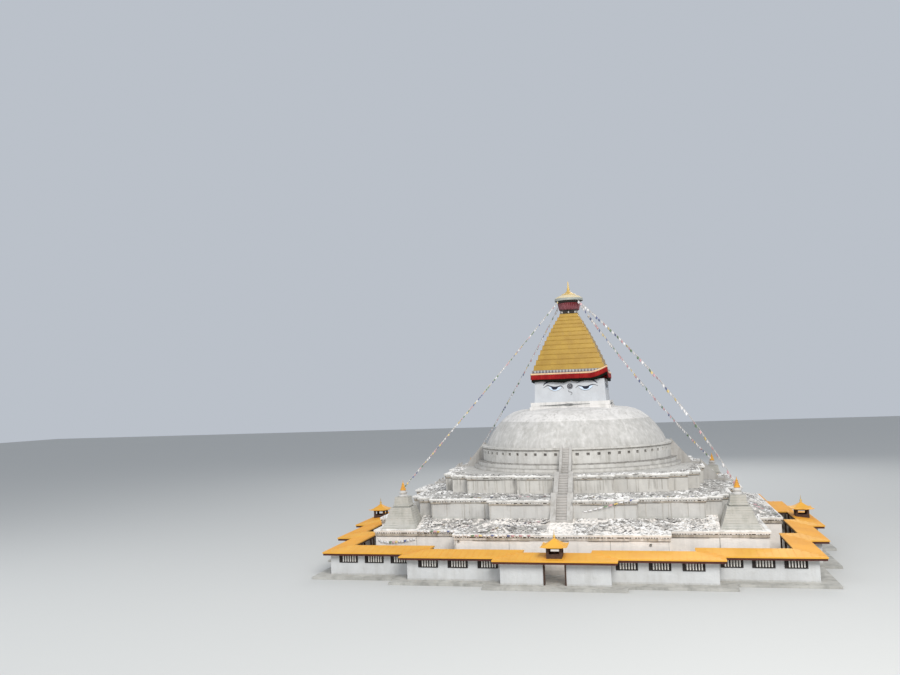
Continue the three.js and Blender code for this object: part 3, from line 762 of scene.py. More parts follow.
def litter_on(name, chip, deck, count, size, seed, heaps, leftward):
    """Chips strewn over the front part of a deck, thick in some patches and thin in others; leftward is
    how much thicker they lie on the left."""
    rng, moves = random.Random(seed), []
    plan, _, _, inward = deck
    reach, stair_half, corner_stupa = plan[-1][0], 0.62, 7.0
    while len(moves) < count:
        x = rng.uniform(-reach, reach)
        y = -rng.uniform(reach - inward - 0.2, plan[0][1])
        if abs(x) > abs(y) or abs(x) < stair_half:
            continue
        z, inset = deck_height(deck, x, y)
        at_corner = abs(x) > corner_stupa and abs(y) > corner_stupa and reach > 9
        if inset < 0.0 or inset > inward or at_corner:
            continue
        thick = vector_noise.noise(Vector((x * 0.9, y * 1.6, seed % 7)))
        thick += 0.5 * vector_noise.noise(Vector((x * 3, y * 4, 5)))
        if rng.random() > max(0.03, min(1.0, 0.35 + heaps * thick)) * (leftward if x < 0 else 1 / leftward):
            continue
        turn = Matrix.Rotation(rng.uniform(0, 6.28), 4, "Z") @ Matrix.Rotation(rng.uniform(-0.4, 0.4), 4, "X")
        big = size * rng.choice((0.5, 0.7, 0.9, 1.2, 1.7))
        scale = Matrix.Diagonal((big, big * rng.uniform(0.4, 1.0), rng.uniform(0.5, 1.8), 1))
        moves.append(Matrix.Translation((x, y, z + 0.004 + (0.018 if inset < 0.14 else 0))) @ turn @ scale)
    return many(name, chip, moves)


pale_chips = limewash("pale_chips", (0.93, 0.91, 0.88), (0.50, 0.46, 0.42), 0.5)
grey_chips = limewash("grey_chips", (0.46, 0.44, 0.41), (0.16, 0.15, 0.14), 0.8)
dark_chips = limewash("dark_chips", (0.14, 0.13, 0.125), (0.03, 0.03, 0.03), 0.8)
for name, deck, count in (("lower", LOWER_DECK, 1500), ("middle", MIDDLE_DECK, 700),
                          ("upper", UPPER_DECK, 260)):
    for seed, (kind, share, size, heaps, leftward, finish) in enumerate((
            ("lime_chips", 0.9, 1.3, 1.2, 0.5, pale_chips),
            ("rubble_chips", 1.9, 1.0, 1.6, 1.35, grey_chips),
            ("dark_chips", 0.6, 0.7, 2.4, 1.15, dark_chips),
            ("scrap_slabs", 0.07, 2.8, 3.0, 1.2, grey_chips))):
        chip = start("cone", "chip", vertices=5, radius1=0.06, radius2=0.035, depth=0.02)
        strewn = litter_on(kind, chip, deck, int(count * share), size, seed + count, heaps, leftward)
        on_four_sides(f"{name}_{kind}", strewn, "limewash", finish)


# Stairs
# Steep masonry flights between plastered cheek walls climb the middle of each side. Each step has
# a tread of grey-brown stone bedded on it, with an eased edge.
stair_wash = limewash("stair_limewash", (0.50, 0.48, 0.45), (0.28, 0.26, 0.23), 0.6,
                      litter=0.3, drips=0.3)
for side in SIDES:
    dress(f"stair_{side}", stair_wash)

tread_stone = limewash("tread_stone", (0.50, 0.475, 0.445), (0.30, 0.28, 0.255), 0.5)
# The riser strip set back under each tread is painted dark, as the shade under the tread's edge.
riser_shade = limewash("riser_shade", (0.40, 0.375, 0.345), (0.24, 0.22, 0.20), 0.7)
steps, risers = [], []
for first, last, count, foot, head, half in (
        (-9.025, -8.15, 10, 2.27, 3.45, 0.255), (-7.75, -6.925, 8, 3.45, 4.35, 0.232),
        (-6.35, -5.38, 10, 4.35, 5.55, 0.172)):
    run, rise = (last - first) / count, (head - foot) / count
    for i in range(count):
        y, z = first + i * run, foot + (i + 1) * rise
        steps.append(block("step", (-half, y - 0.012, z - rise + 0.03), (half, y + run, z + 0.006), 0.008))
        risers.append(block("riser", (-half, y - 0.006, z - rise + 0.002), (half, y + 0.01, z - rise + 0.03)))
on_four_sides("stair_treads", joined("stair_treads", steps), "limewash", tread_stone)
on_four_sides("stair_riser_shades", joined("stair_riser_shades", risers), "limewash", riser_shade)


# Corner stupas
# Plastered bodies under a lip stand on the corners of the lowest terrace, each with a square neck
# that narrows upwards, a white turned pot and a tapering orange spire.
corner_wash = limewash("corner_limewash", (0.49, 0.475, 0.43), (0.27, 0.27, 0.23), 0.55,
                       courses=0.8)
orange_gilt = gilt("orange_gilt", (0.78, 0.40, 0.06), (0.62, 0.28, 0.04), 0.2)
pot_wash = limewash("pot_limewash", (0.60, 0.58, 0.55), (0.25, 0.23, 0.20), 0.6)
CORNER_AT, NECK_TOP, POT_TOP = 8.07, 3.435, 3.735
CORNERS = (("front_left", -1, -1), ("front_right", 1, -1), ("rear_right", 1, 1), ("rear_left", -1, 1))
pot = spike("pot", 0, 0, NECK_TOP,
            [(0.25, 0), (0.26, 0.045), (0.21, 0.06), (0.16, 0.11), (0.19, 0.15), (0.215, 0.21), (0.19, 0.26),
             (0.13, 0.285), (0.145, 0.31)], 20)
cone = spike("cone", 0, 0, POT_TOP,
             [(0.12, 0), (0.15, 0.015), (0.15, 0.05), (0.125, 0.075), (0.13, 0.11), (0.10, 0.14),
              (0.105, 0.18), (0.075, 0.215), (0.08, 0.255), (0.05, 0.295), (0.06, 0.345), (0.02, 0.39),
              (0.008, 0.505)])
for corner, x, y in CORNERS:
    dress(f"corner_stupa_{corner}", corner_wash)
    move = Matrix.Translation((CORNER_AT * x, CORNER_AT * y, 0))
    base, tip = copy_of(pot, move), copy_of(cone, move)
    base.name, tip.name = f"corner_pot_{corner}", f"corner_cone_{corner}"
    finish_piece(base, "limewash", pot_wash)
    finish_piece(tip, "gold", orange_gilt)
    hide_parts(f"corner_spire_{corner}")
for used in (pot, cone):
    bpy.data.objects.remove(used)


# Round courses
# Two low round steps and the drum over them, with a small square niche in each of its facets and a
# thin cornice. Thin dark lines are painted round the steps and the foot of the drum; the dark line
# under the cornice and the dark back of each niche are painted shade.
# Painted shade: the dark line at 5.38 to 5.45 under the cornice. The lower dark lines go round the steps and
# the drum's foot.
round_wash = limewash("round_limewash", (0.66, 0.64, 0.60), (0.34, 0.32, 0.28), 0.6,
                      litter=0.6, drips=0.2, bands=[
                          (5.38, 5.45, 0.05, DARK_LINE, 0.6), (4.69, 4.73, 0.03, DARK_LINE, 0.8),
                          (4.47, 4.50, 0.02, DARK_LINE, 0.5), (4.30, 4.33, 0.02, DARK_LINE, 0.4)])
dress("ring_steps", round_wash)
dress("niche_drum", round_wash)

# The niche backs are painted dark as the shade inside each niche.
niche_shade = limewash("niche_shade", (0.26, 0.24, 0.22), (0.02, 0.02, 0.02), 1.0)
FACETS, FACETS_A_SIDE = 60, 15
NICHE_HALF, NICHE_FRONT, NICHE_BACK, NICHE_FOOT, NICHE_TOP = 0.083, -5.306, -5.298, 5.142, 5.278
back = block("back", (-NICHE_HALF, NICHE_FRONT, NICHE_FOOT), (NICHE_HALF, NICHE_BACK, NICHE_TOP), 0.003)
backs = many("niche_backs", back, [turn for i, turn in enumerate(ring(FACETS)) if i % FACETS_A_SIDE])
finish_piece(backs, "limewash", niche_shade)


# Dome and square box
# Solid masonry with full shoulders, washed white and streaked grey where rain runs down it, under
# a square plastered box on a low step. Its lower part is painted darker as shade.
# Painted shade: the grey band over the lower part of the dome. The thin dark line goes round the step.
dome_wash = limewash("dome_limewash", (0.75, 0.725, 0.695), streak=0.55, drips=0.3, bands=[
    (7.68, 7.70, 0.012, DARK_LINE, 0.2), (5.54, 6.9, 0.3, (0.38, 0.37, 0.34), 0.65)])
dress("dome", dome_wash)
box_wash = limewash("box_limewash", (0.57, 0.585, 0.605), (0.44, 0.44, 0.44), 0.3)
dress("harmika", box_wash)


# Painted eyes
# On each face of the box a pair of half-closed eyes with brows, a spiral dot between them and a
# curl beneath it, in the traditional pattern, brushed on the limewash. Damp has left a grey smear
# along the step under the box.
def smooth_line(points, cuts=8):
    """More points between the given ones, on a smooth line."""
    ends = [points[0], *points, points[-1]]
    line = []
    for a, b, c, d in zip(ends, ends[1:], ends[2:], ends[3:]):
        for i in range(cuts):
            t = i / cuts
            line.append(tuple(0.5 * (2 * q + (r - p) * t + (2 * p - 5 * q + 4 * r - s) * t * t
                                     + (3 * q - p - 3 * r + s) * t ** 3) for p, q, r, s in zip(a, b, c, d)))
    return [*line, points[-1]]


def brush_stroke(points, widest):
    """Outline of a stroke that swells in the middle and thins at both ends."""
    line = [Vector(point) for point in smooth_line(points)]
    left, right = [], []
    for i, point in enumerate(line):
        along = (line[min(i + 1, len(line) - 1)] - line[max(i - 1, 0)]).normalized()
        across = Vector((-along.y, along.x))
        half = widest / 2 * (0.25 + 0.75 * math.sin(math.pi * i / (len(line) - 1)))
        left.append(point + across * half)
        right.append(point - across * half)
    return left + right[::-1]


def drawn(name, points, dimensions):
    """A curve of straight pieces through the points."""
    curve = bpy.data.curves.new(name, "CURVE")
    curve.dimensions = dimensions
    line = curve.splines.new("POLY")
    line.points.add(len(points) - 1)
    for spot, point in zip(line.points, points):
        spot.co = (*point, 1)
    return linked(name, curve)


STEP_FACE, BOX_FACE, BOX_FOOT, BOX_LEAN = 2.2, 2.0, 7.925, 0.0486


def box_face(height):
    """Distance out of the box's face, which leans in."""
    return BOX_FACE - BOX_LEAN * (height - BOX_FOOT)


def painted_on_face(name, outlines, lift, face=box_face):
    """Flat paint with the given outlines, laid on a front face: face is its distance out at a height."""
    pieces = []
    for outline in outlines:
        flat = drawn(name, [(*point, 0) for point in outline], "2D")
        flat.data.fill_mode = "BOTH"
        flat.data.extrude = 0.0015
        flat.data.splines[0].use_cyclic_u = True
        bpy.context.view_layer.objects.active = flat
        flat.select_set(True)
        bpy.ops.object.convert(target="MESH")
        pieces.append(bpy.context.object)
        bpy.ops.object.select_all(action="DESELECT")
    paint = joined(name, pieces)
    for vertex in paint.data.vertices:
        u, v, w = vertex.co
        vertex.co = (u, w - lift - face(v), v)
    return paint


def brushed(name, colour, worn):
    material, tree, shader = node_material(name, 0.85)
    tone = ramp(tree, noise(tree, 5, 9, rough=0.7), [(0.35, colour), (0.75, worn)])
    surface(tree, shader, tone, noise(tree, 30, 6), 0.3, 0.004)
    return material


LIDS = [[(-1.48, 8.75), (-1.35, 8.82), (-1.22, 8.88), (-1.03, 8.81), (-0.83, 8.77), (-0.64, 8.79),
         (-0.49, 8.83), (-0.39, 8.76), (-0.32, 8.66)],
        [(0.34, 8.68), (0.50, 8.80), (0.71, 8.76), (0.91, 8.74), (1.10, 8.78), (1.21, 8.83), (1.38, 8.84),
         (1.58, 8.76)]]
BROWS = [[(-1.48, 8.88), (-1.39, 8.98), (-1.20, 9.07), (-0.90, 9.11), (-0.62, 9.09), (-0.42, 8.99)],
         [(0.40, 8.96), (0.65, 9.07), (0.96, 9.12), (1.27, 9.10), (1.44, 9.01), (1.57, 8.91)]]
LOWER_LIDS = [[(-1.22, 8.74), (-1.05, 8.60), (-0.83, 8.55), (-0.60, 8.59), (-0.42, 8.70)],
              [(0.48, 8.70), (0.66, 8.58), (0.90, 8.53), (1.12, 8.59), (1.30, 8.74)]]
PUPILS = [[(-1.05, 8.80), (-0.98, 8.68), (-0.92, 8.63), (-0.77, 8.63), (-0.70, 8.68), (-0.62, 8.79)],
          [(0.69, 8.76), (0.77, 8.65), (0.84, 8.61), (0.99, 8.61), (1.06, 8.66), (1.13, 8.78)]]
WHITES = [[(-1.18, 8.80), (-1.03, 8.63), (-0.83, 8.57), (-0.62, 8.62), (-0.47, 8.76), (-0.83, 8.76)],
          [(0.52, 8.75), (0.68, 8.61), (0.90, 8.55), (1.12, 8.61), (1.28, 8.78), (0.9, 8.74)]]
DOT_X, DOT_Z, DOT_RADIUS = 0.03, 8.79, 0.172
SPIRAL = [(DOT_X + (0.02 + 0.012 * i) * math.cos(0.9 * i), DOT_Z + (0.02 + 0.012 * i) * math.sin(0.9 * i))
          for i in range(13)]
CURL = [(-0.02, 8.60), (-0.075, 8.54), (-0.03, 8.485), (0.07, 8.46), (0.125, 8.40), (0.10, 8.33),
        (0.03, 8.30)]
DOT = [(DOT_X + DOT_RADIUS * math.cos(0.26 * i), DOT_Z + DOT_RADIUS * math.sin(0.26 * i)) for i in range(24)]

ink = brushed("ink_paint", (0.004, 0.006, 0.016), (0.022, 0.026, 0.05))
grey_ink = brushed("grey_paint", (0.13, 0.13, 0.135), (0.30, 0.30, 0.31))
pale_blue = brushed("pale_blue_paint", (0.50, 0.64, 0.80), (0.70, 0.76, 0.84))
for name, lines, widest, lift, paint in (
        ("eye_whites", [smooth_line(line, 5) for line in WHITES], None, 0.0025, pale_blue),
        ("eye_pupils", [smooth_line(line, 5) for line in PUPILS], None, 0.006, ink),
        ("eye_lids", LIDS, 0.055, 0.0075, ink), ("eye_brows", BROWS, 0.085, 0.004, ink),
        ("eye_lower_lids", LOWER_LIDS, 0.02, 0.0045, grey_ink),
        ("forehead_dot", [DOT], None, 0.003, grey_ink),
        ("forehead_spiral", [SPIRAL], 0.035, 0.0065, ink), ("nose_curl", [CURL], 0.05, 0.004, grey_ink)):
    outlines = [brush_stroke(line, widest) if widest else line for line in lines]
    on_four_sides(name, painted_on_face(name, outlines, lift), "dark_wood", paint)

SMEAR = [(-1.70, 7.745), (-1.0, 7.74), (-0.33, 7.76), (0.17, 7.765), (1.12, 7.78)]
SMEAR_CORE = [(-0.40, 7.755), (-0.05, 7.76), (0.24, 7.765)]
damp = brushed("damp_smear", (0.10, 0.10, 0.095), (0.34, 0.34, 0.33))
for name, line, widest, lift in (("step_smear", SMEAR, 0.085, 0.003),
                                 ("step_smear_core", SMEAR_CORE, 0.15, 0.005)):
    smear = painted_on_face(name, [brush_stroke(line, widest)], lift, lambda height: STEP_FACE)
    on_four_sides(name, smear, "dark_wood", damp)


# Valance
# A pleated red cloth with a cream upper band and a dark green fringe is nailed round the head of
# the box. The wind has lifted it at the front right corner.
def square_loop(half, radius, per_side):
    """(x, y, outward x, outward y) round a square with rounded corners."""
    loop = []
    for turn in range(4):
        cos, sin = (1, 0, -1, 0)[turn], (0, 1, 0, -1)[turn]
        flat = half - radius
        part = [(-flat + 2 * flat * i / per_side, -half, 0.0, -1.0) for i in range(per_side)]
        part += [(flat + radius * math.sin(a), -flat - radius * math.cos(a), math.sin(a), -math.cos(a))
                 for a in (math.pi / 2 * i / 6 for i in range(7))]
        loop += [(x * cos - y * sin, x * sin + y * cos, p * cos - q * sin, p * sin + q * cos)
                 for x, y, p, q in part]
    return loop


def lifted(x, y):
    """How far the wind holds the cloth up near the front right corner."""
    corner, reach, lift = 2.1, 0.95, 0.30
    away = max(0.0, corner - x) + max(0.0, y + corner)
    return lift * max(0.0, 1 - away / reach) ** 1.6


def thickened(name, shape, thickness):
    """A piece of cloth from flat faces."""
    data = bpy.data.meshes.new(name)
    shape.to_mesh(data)
    shape.free()
    cloth = linked(name, data)
    bpy.context.view_layer.objects.active = cloth
    solidify(cloth, thickness)
    return cloth


def hung_cloth(name, loop, high, low, rows, pleat, pitch, ragged=0.0, lift=lambda x, y: 0.0):
    """A closed strip of cloth that hangs round a loop in pleats that deepen downwards, and its size
    when it is laid flat."""
    seed = 3
    rng = random.Random(seed)
    shape = bmesh.new()
    lengths, grid = [0.0], []
    for (x0, y0, *_), (x1, y1, *_) in zip(loop, loop[1:] + loop[:1]):
        lengths.append(lengths[-1] + math.hypot(x1 - x0, y1 - y0))
    around = lengths[-1]
    waves = round(around / pitch)

    def tatter(x, y):
        slow = vector_noise.noise(Vector((2.2 * x, 2.2 * y, seed)))
        return ragged * (0.5 + 1.2 * slow) + rng.uniform(0, 0.3 * ragged)

    for row in range(rows + 1):
        share = row / rows
        ring = []
        for (x, y, p, q), run in zip(loop, lengths):
            swell = pleat * (0.35 + 0.65 * share) * math.sin(2 * math.pi * waves * run / around + 0.6 * share)
            swell += 0.25 * pleat * math.sin(2 * math.pi * 3 * run / around + 1.0)
            z = high - (high - low) * share + lift(x, y) - (tatter(x, y) if row == rows else 0)
            ring.append(shape.verts.new((x + p * swell, y + q * swell, z)))
        grid.append(ring)
    count = len(loop)
    for upper, lower in zip(grid, grid[1:]):
        for i in range(count):
            shape.faces.new((upper[i], lower[i], lower[(i + 1) % count], upper[(i + 1) % count]))
    middle = grid[rows // 2]
    length = sum((middle[i].co - middle[(i + 1) % count].co).length for i in range(count))
    cloth = thickened(name, shape, 0.005)
    for face in cloth.data.polygons:
        face.use_smooth = True
    return cloth, (round(high - low + ragged / 2, 3), round(length, 2))


def woven(name, deep, light, sheen=0.3):
    """Dyed cotton with faded ridges and a fine weave."""
    material, tree, shader = node_material(name, 0.9)
    shader.inputs["Sheen Weight"].default_value = sheen
    shader.inputs["Specular IOR Level"].default_value = 0.15
    colour = ramp(tree, noise(tree, 3.5, 9, (1, 1, 0.4), 0.65), [(0.32, deep), (0.72, light)])
    thread = ramp(tree, noise(tree, 60, 3, (1, 1, 3)), [(0.35, 0.75), (0.65, 1.0)])
    colour = blend(tree, 0.6, colour, thread, "MULTIPLY")
    surface(tree, shader, colour, noise(tree, 90, 3, (1, 1, 2)), 0.35, 0.003)
    return material


red_cloth = woven("red_cloth", (0.21, 0.005, 0.007), (0.40, 0.022, 0.018), 0.08)
cream_cloth = woven("cream_cloth", (0.72, 0.40, 0.28), (0.86, 0.66, 0.36))
green_fringe = woven("green_fringe", (0.003, 0.005, 0.003), (0.008, 0.012, 0.007), 0.01)
dress("valance", red_cloth)
for name, half, high, low, rows, pleat, pitch, ragged, finish, slot, carried in (
        ("valance_fringe", 2.115, 9.25, 9.115, 3, 0.012, 0.09, 0.08, green_fringe, "cloth", "harmika"),
        ("valance_cloth", 2.15, 9.49, 9.225, 5, 0.02, 0.16, 0.012, red_cloth, "red", "harmika"),
        ("valance_band", 2.165, 9.575, 9.485, 2, 0.008, 0.16, 0.0, cream_cloth, "cream", "block_frieze")):
    loop = square_loop(half, 0.07, 190)
    cloth, flat = hung_cloth(name, loop, high, low, rows, pleat, pitch, ragged, lifted)
    finish_piece(cloth, slot, finish)
    if name == "valance_cloth":
        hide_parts("valance")


# Block frieze
# A course of small painted blocks, grey and purple by turns, stands between the valance and the
# foot of the spire on all four sides.
dress("block_frieze", limewash("frieze_wash", (0.34, 0.31, 0.26), (0.14, 0.13, 0.12), 0.4))
grey_block = brushed("grey_block_paint", (0.11, 0.095, 0.12), (0.25, 0.22, 0.24))
pale_block = brushed("pale_block_paint", (0.34, 0.35, 0.34), (0.52, 0.52, 0.48))
FRIEZE_END, BLOCK_STEP, BLOCKS = -1.98, 0.18, 22
for name, first, low, high, finish in (("frieze_dark_blocks", 0.0, 9.585, 9.70, grey_block),
                                       ("frieze_pale_blocks", BLOCK_STEP / 2, 9.60, 9.735, pale_block)):
    one = block("one", (-0.05, -2.095, low), (0.05, -2.065, high), 0.008)
    places = [Matrix.Translation((FRIEZE_END + first + BLOCK_STEP * i, 0, 0)) for i in range(BLOCKS)]
    spread(name, one, places, "cream", finish)


# Golden spire
# Thirteen tiers of gilt sheet over a masonry core. Each tier is a box of sheets soldered in upright
# seams, with a rolled edge round its top.
TIERS, TIER_FOOT, TIER_RISE, TIER_LOSS = 13, 9.7402, 0.31, 0.00923
TIER_HALF, TIER_TAPER = 1.995, 0.119583
tiers, z = [], TIER_FOOT
for i in range(TIERS):
    tiers.append((z, TIER_RISE - TIER_LOSS * i, TIER_HALF - TIER_TAPER * i))
    z += TIER_RISE - TIER_LOSS * i
profile = []
for z, rise, half in tiers:
    for out, up in ((-0.012, 0.0), (0.0, 0.018), (-0.004, 0.034), (-0.040, rise - 0.03),
                    (-0.036, rise - 0.02), (-0.036, rise - 0.004), (-0.062, rise - 0.0004)):
        profile.append(((half + out) * math.sqrt(2), z + up))
spire_gilt = gilt("spire_gilt", (0.42, 0.258, 0.037), (0.345, 0.20, 0.026), 0.12)
spire = spike("spire_tiers", 0, 0, 0, profile, 4)
finish_piece(spire, "gold", spire_gilt)
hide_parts("golden_spire")

# The rolled edges are gilt lighter than the tiers: wear, and painted highlight where they catch the light.
edge_gilt_and_highlight = gilt("edge_gilt_and_highlight", (0.47, 0.30, 0.05), (0.40, 0.24, 0.036), 0.12)
moves = []
for z, rise, half in tiers:
    moves += [turn @ Matrix.Translation((0, -half + 0.034, z + rise - 0.014))
              @ Matrix.Diagonal((2 * half - 0.06, 1, 1, 1)) for turn in ring(4)]
edges = many("spire_edges", block("edge", (-0.5, -0.003, -0.012), (0.5, 0.008, 0.008), 0.003), moves)
finish_piece(edges, "gold", edge_gilt_and_highlight)

moves = []
for z, rise, half in tiers:
    lean = Matrix.Rotation(-math.atan2(0.042, rise - 0.064), 4, "X")
    moves += [turn @ Matrix.Translation((x, -half + 0.025, z + rise / 2)) @ lean
              @ Matrix.Diagonal((1, 1, rise - 0.07, 1))
              for turn in ring(4) for x in ((0,) if half < 1.3 else (-0.33 * half, 0, 0.33 * half))]
seams = many("spire_seams", block("seam", (-0.008, -0.006, -0.5), (0.008, 0.004, 0.5)), moves)
finish_piece(seams, "gold", gilt("seam_gilt", (0.37, 0.22, 0.034), (0.30, 0.17, 0.024), 0.12))


# Neck and red drum
# A dark timber neck with a row of white buds stands on the last tier and carries a drum wrapped in
# gathered red cloth.
dress("spire_neck", black_timber)
bud = spike("bud", 0, -0.475, 13.07,
            [(0.02, 0), (0.045, 0.03), (0.05, 0.06), (0.03, 0.10), (0.008, 0.135)], 8)
moves = [turn @ Matrix.Translation((x, 0, 0)) for turn in ring(4) for x in (-0.38, 0, 0.38)]
finish_piece(many("neck_buds", bud, moves), "limewash", pot_wash)

dress("red_drum", woven("drum_lining", (0.10, 0.008, 0.01), (0.18, 0.02, 0.02)))
rose_cloth = woven("rose_cloth", (0.13, 0.028, 0.036), (0.34, 0.12, 0.135))
DRUM_CLOTH_TOP, DRUM_CLOTH_FOOT, DRUM_CLOTH_DROP, DRUM_CLOTH_OUT = 13.675, 13.30, 0.375, 0.665
circle = [(DRUM_CLOTH_OUT * math.cos(a), DRUM_CLOTH_OUT * math.sin(a), math.cos(a), math.sin(a))
          for a in (2 * math.pi * i / 240 for i in range(240))]
cloth, flat = hung_cloth("drum_cloth", circle, DRUM_CLOTH_TOP, DRUM_CLOTH_FOOT, 5, 0.016, 0.12, 0.02)
for vertex in cloth.data.vertices:
    pull = 1 - 0.14 * (DRUM_CLOTH_TOP - vertex.co.z) / DRUM_CLOTH_DROP
    vertex.co.x, vertex.co.y = vertex.co.x * pull, vertex.co.y * pull
finish_piece(cloth, "red", rose_cloth)


# Parasol and finial
# A round sheet parasol with a pale upright rim and an underside painted dark as shade, under a gilt
# cone drawn up to a thin spike.
def parasol_paint_and_shade():
    material, tree, shader = node_material("parasol_paint_and_shade", 0.6)
    colour = ramp(tree, noise(tree, 2.2, 9), [(0.3, (0.25, 0.27, 0.245)), (0.7, (0.42, 0.44, 0.40))])
    # Faces that look down are painted near black: painted shade under the parasol.
    colour = blend(tree, upward(tree, -0.3, -0.6), colour, (0.03, 0.03, 0.028))
    colour = blend(tree, upward(tree, 0.3, 0.6), colour, (0.68, 0.57, 0.36))
    surface(tree, shader, colour, noise(tree, 14, 6), 0.3, 0.01)
    return material


pale_sheet = parasol_paint_and_shade()
dress("parasol", pale_sheet)
dress("finial", gilt("finial_gilt", (0.72, 0.51, 0.18), (0.58, 0.37, 0.09), 0.3))
rib = block("rib", (-0.005, -0.115, -0.006), (0.005, 0.115, 0.005), 0.002)
slopes = [Matrix.Translation((0, -out, height)) @ Matrix.Rotation(math.atan2(fall, run), 4, "X")
          for out, height, fall, run in ((0.74, 14.035, 0.13, 0.18), (0.55, 14.14, 0.08, 0.20))]
ribs = many("parasol_ribs", rib, [turn @ slope for turn in ring(24) for slope in slopes])
finish_piece(ribs, "parasol", pale_sheet)


# Flag lines
# Cotton ropes run from the rim of the parasol to the spires of the four corner stupas, with small
# square flags of five colours sewn on at short spaces.
def rope(name, points, diameter):
    """A cord through the points, tied at both ends, as one open curve."""
    cord = drawn(name, points, "3D")
    cord.data.bevel_depth = diameter / 2
    cord.data.bevel_resolution = 1
    cord.data.materials.append(rope_cotton)
    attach(cord, "root")
    length = sum((b - a).length for a, b in zip(points, points[1:]))
    tuple(points[0])
    return cord


def flags_on(name, points, pitch, width, drop, fall, seed, swings=(-0.6, 0.6)):
    """Small flags side by side along a line, each turned and curled a little by the wind."""
    rng = random.Random(seed)
    shape = bmesh.new()
    reach, index, fall = pitch * 0.7, 0, Vector(fall)
    for a, b in zip(points, points[1:]):
        along = (b - a).normalized()
        length = (b - a).length
        while reach < length:
            middle = a + along * reach
            swing = Matrix.Rotation(rng.uniform(*swings), 3, along)
            down = swing @ (fall - along * fall.dot(along) * 0.5).normalized()
            side = along.cross(down).normalized() * rng.uniform(-0.3, 0.3) * drop
            hue = rng.choice((0, 0, 0, 0, 1, 2, 2, 3, 4))
            rows = []
            for row in range(3):
                curl = side * (row / 2) ** 2
                rows.append([shape.verts.new(middle + along * (width * (col / 2 - 0.5))
                                             + down * (drop * row / 2) + curl * (1 if col != 1 else 0.3))
                             for col in range(3)])
            for upper, lower in zip(rows, rows[1:]):
                for col in range(2):
                    face = shape.faces.new((upper[col], lower[col], lower[col + 1], upper[col + 1]))
                    face.material_index = hue
                    face.smooth = True
            index += 1
            reach += pitch
        reach -= length
    flags = thickened(name, shape, 0.003)
    finish_piece(flags, "cloth", *FLAG_CLOTHS)
    return flags, index


rope_cotton = woven("rope_cotton", (0.45, 0.42, 0.38), (0.66, 0.63, 0.58))
FLAG_CLOTHS = [woven(f"flag_{name}", deep, light) for name, deep, light in (
    ("white", (0.76, 0.74, 0.74), (0.92, 0.90, 0.88)), ("blue", (0.10, 0.12, 0.26), (0.24, 0.27, 0.44)),
    ("pink", (0.55, 0.27, 0.30), (0.80, 0.54, 0.56)), ("green", (0.11, 0.19, 0.10), (0.26, 0.36, 0.22)),
    ("yellow", (0.66, 0.46, 0.13), (0.86, 0.70, 0.34)))]

RIM_TIE, RIM_HEIGHT, TIE_HEIGHT, SHORT_OF_SPIRE = 0.565, 13.825, 3.875, 0.988


def hanging_line(name, x, y, sag, bow, pitch, size, seed):
    """The rope from the parasol's rim to the corner spire in the direction x, y, and its flags: sag
    is a share of its length, bow how far the wind holds its middle out to the side."""
    a = Vector((RIM_TIE * x, RIM_TIE * y, RIM_HEIGHT))
    b = Vector((CORNER_AT * x, CORNER_AT * y, TIE_HEIGHT))
    middle = (a + b) / 2 + Vector((2 * bow, 0, -2 * sag * (b - a).length))
    points = [a * (1 - t) ** 2 + middle * 2 * t * (1 - t) + b * t * t
              for t in (SHORT_OF_SPIRE * i / 32 for i in range(33))]
    cord = rope(f"{name}_rope", points, 0.02)
    width = pitch * 0.75
    flags, count = flags_on(f"{name}_flags", points, pitch, width, size, (0, 0, -1), seed)
    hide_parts(f"flag_line_{name}")


for name, x, y, sag, bow, pitch, size in (
        ("front_left", -1, -1, 0.005, 0, 0.15, 0.08), ("front_right", 1, -1, 0, 0.65, 0.21, 0.14),
        ("rear_right", 1, 1, 0.03, 0, 0.19, 0.14), ("rear_left", -1, 1, 0.02, 0, 0.2, 0.1)):
    hanging_line(name, x, y, sag, bow, pitch, size, 9 + x + 3 * y)


# Loose strings of flags
# More strings of the same small flags lie on the decks and hang over the copings and walls, where
# the wind has left them. They are cotton on thin cord, tied to the masonry at both ends.
def loose_string(name, points, pitch, size, fall, swings, seed, turn=0):
    """A string through the points, turned to one of the four sides, and its flags."""
    turned = Matrix.Rotation(turn * math.pi / 2, 3, "Z")
    points = [turned @ Vector(point) for point in points]
    cord = rope(f"{name}_string", points, 0.008)
    width, fall = pitch * 0.72, turned @ Vector(fall)
    flags, count = flags_on(f"{name}_flags", points, pitch, width, size, fall, seed, swings)


def on_deck(deck, spots):
    """Points of a string that lies on a deck."""
    points = []
    for x, y in smooth_line(spots, 5):
        z, inset = deck_height(deck, x, y)
        points.append((x, y, z + (0.036 if inset < 0.17 else 0.014)))
    return points


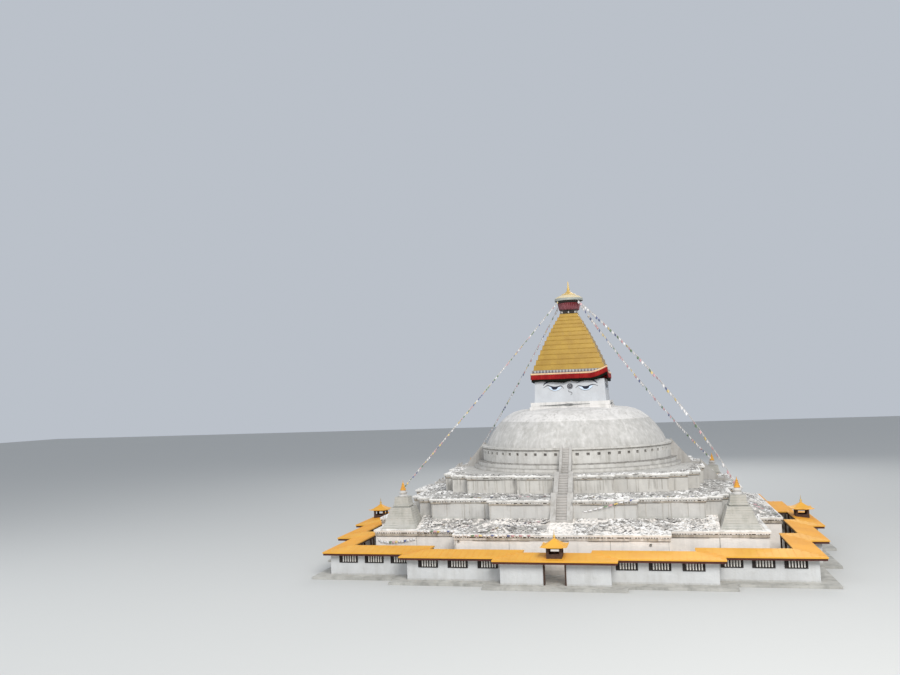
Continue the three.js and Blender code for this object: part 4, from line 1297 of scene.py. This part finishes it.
ON_SLOPE, HUNG, LYING, SWINGING = (0, -1, -0.3), (0, -0.1, -1), (-0.7, -0.05), (-0.35, 0.1)
ACROSS_MIDDLE = on_deck(MIDDLE_DECK, [(-5.6, -7.62), (-4.92, -7.58), (-3.77, -7.64), (-2.68, -7.49),
                                      (-1.63, -7.75), (-0.69, -7.8)])
HEAP = on_deck(MIDDLE_DECK, [(0.9, -8.3), (1.7, -8.0), (2.4, -8.3), (2.9, -7.8), (3.1, -8.3), (3.7, -7.6),
                             (4.2, -7.75), (4.7, -7.45), (5.4, -7.7), (6.3, -7.5)])
LOWER_SLOPE = on_deck(LOWER_DECK, [(-4.3, -10.2), (-3.4, -9.95), (-2.7, -9.4), (-2.2, -9.5), (-1.7, -9.1),
                                   (-1.1, -8.95), (-0.7, -8.85)])
LOWER_PATCH = on_deck(LOWER_DECK, [(-6.6, -8.9), (-6.0, -8.5), (-5.2, -8.9), (-4.5, -8.6), (-4.2, -9.3),
                                   (-3.5, -8.9)])
EDGE, WING_EDGE = ([(x, y, LOWER_TOP + 0.012 - 0.03 * math.sin(waves * x) ** 2)
                    for x in (first + 0.2 * i for i in range(count))]
                   for first, count, y, waves in ((-4.9, 19, -10.424, 5), (-7.1, 11, -9.3, 4)))
ON_WALL = smooth_line([(-9.12, -9.216, 1.52), (-8.72, -9.235, 1.40), (-7.94, -9.235, 1.43),
                       (-7.2, -9.216, 1.55)], 6)
ON_FRONT = smooth_line([(0.94, -8.665, 2.72), (1.44, -8.70, 2.84), (1.92, -8.752, 2.97), (2.5, -8.767, 3.12),
                        (3.0, -8.767, 3.25), (3.3, -8.72, 3.30), (3.42, -8.5, 3.31)], 5)
for name, points, pitch, size, fall, swings, turns in (
        ("middle_deck", ACROSS_MIDDLE, 0.21, 0.11, ON_SLOPE, LYING, (0, 2, 3)),
        ("middle_heap", HEAP, 0.10, 0.11, ON_SLOPE, LYING, (0, 1)),
        ("lower_deck", LOWER_SLOPE, 0.22, 0.14, ON_SLOPE, LYING, (0, 1)),
        ("lower_patch", LOWER_PATCH, 0.14, 0.10, ON_SLOPE, LYING, (0,)),
        ("lower_edge", EDGE, 0.19, 0.08, HUNG, SWINGING, (0, 3)),
        ("wing_edge", WING_EDGE, 0.17, 0.08, HUNG, SWINGING, (0,)),
        ("wing_wall", ON_WALL, 0.15, 0.11, HUNG, SWINGING, (0, 2)),
        ("middle_front", ON_FRONT, 0.25, 0.07, HUNG, SWINGING, (0,))):
    for turn in turns:
        loose_string(f"{name}_{SIDES[turn]}", points, pitch, size, fall, swings, 20 + turn, turn)


low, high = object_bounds()
{"cad": [list(cad_low), list(cad_high)], "visual": [list(low), list(high)]}
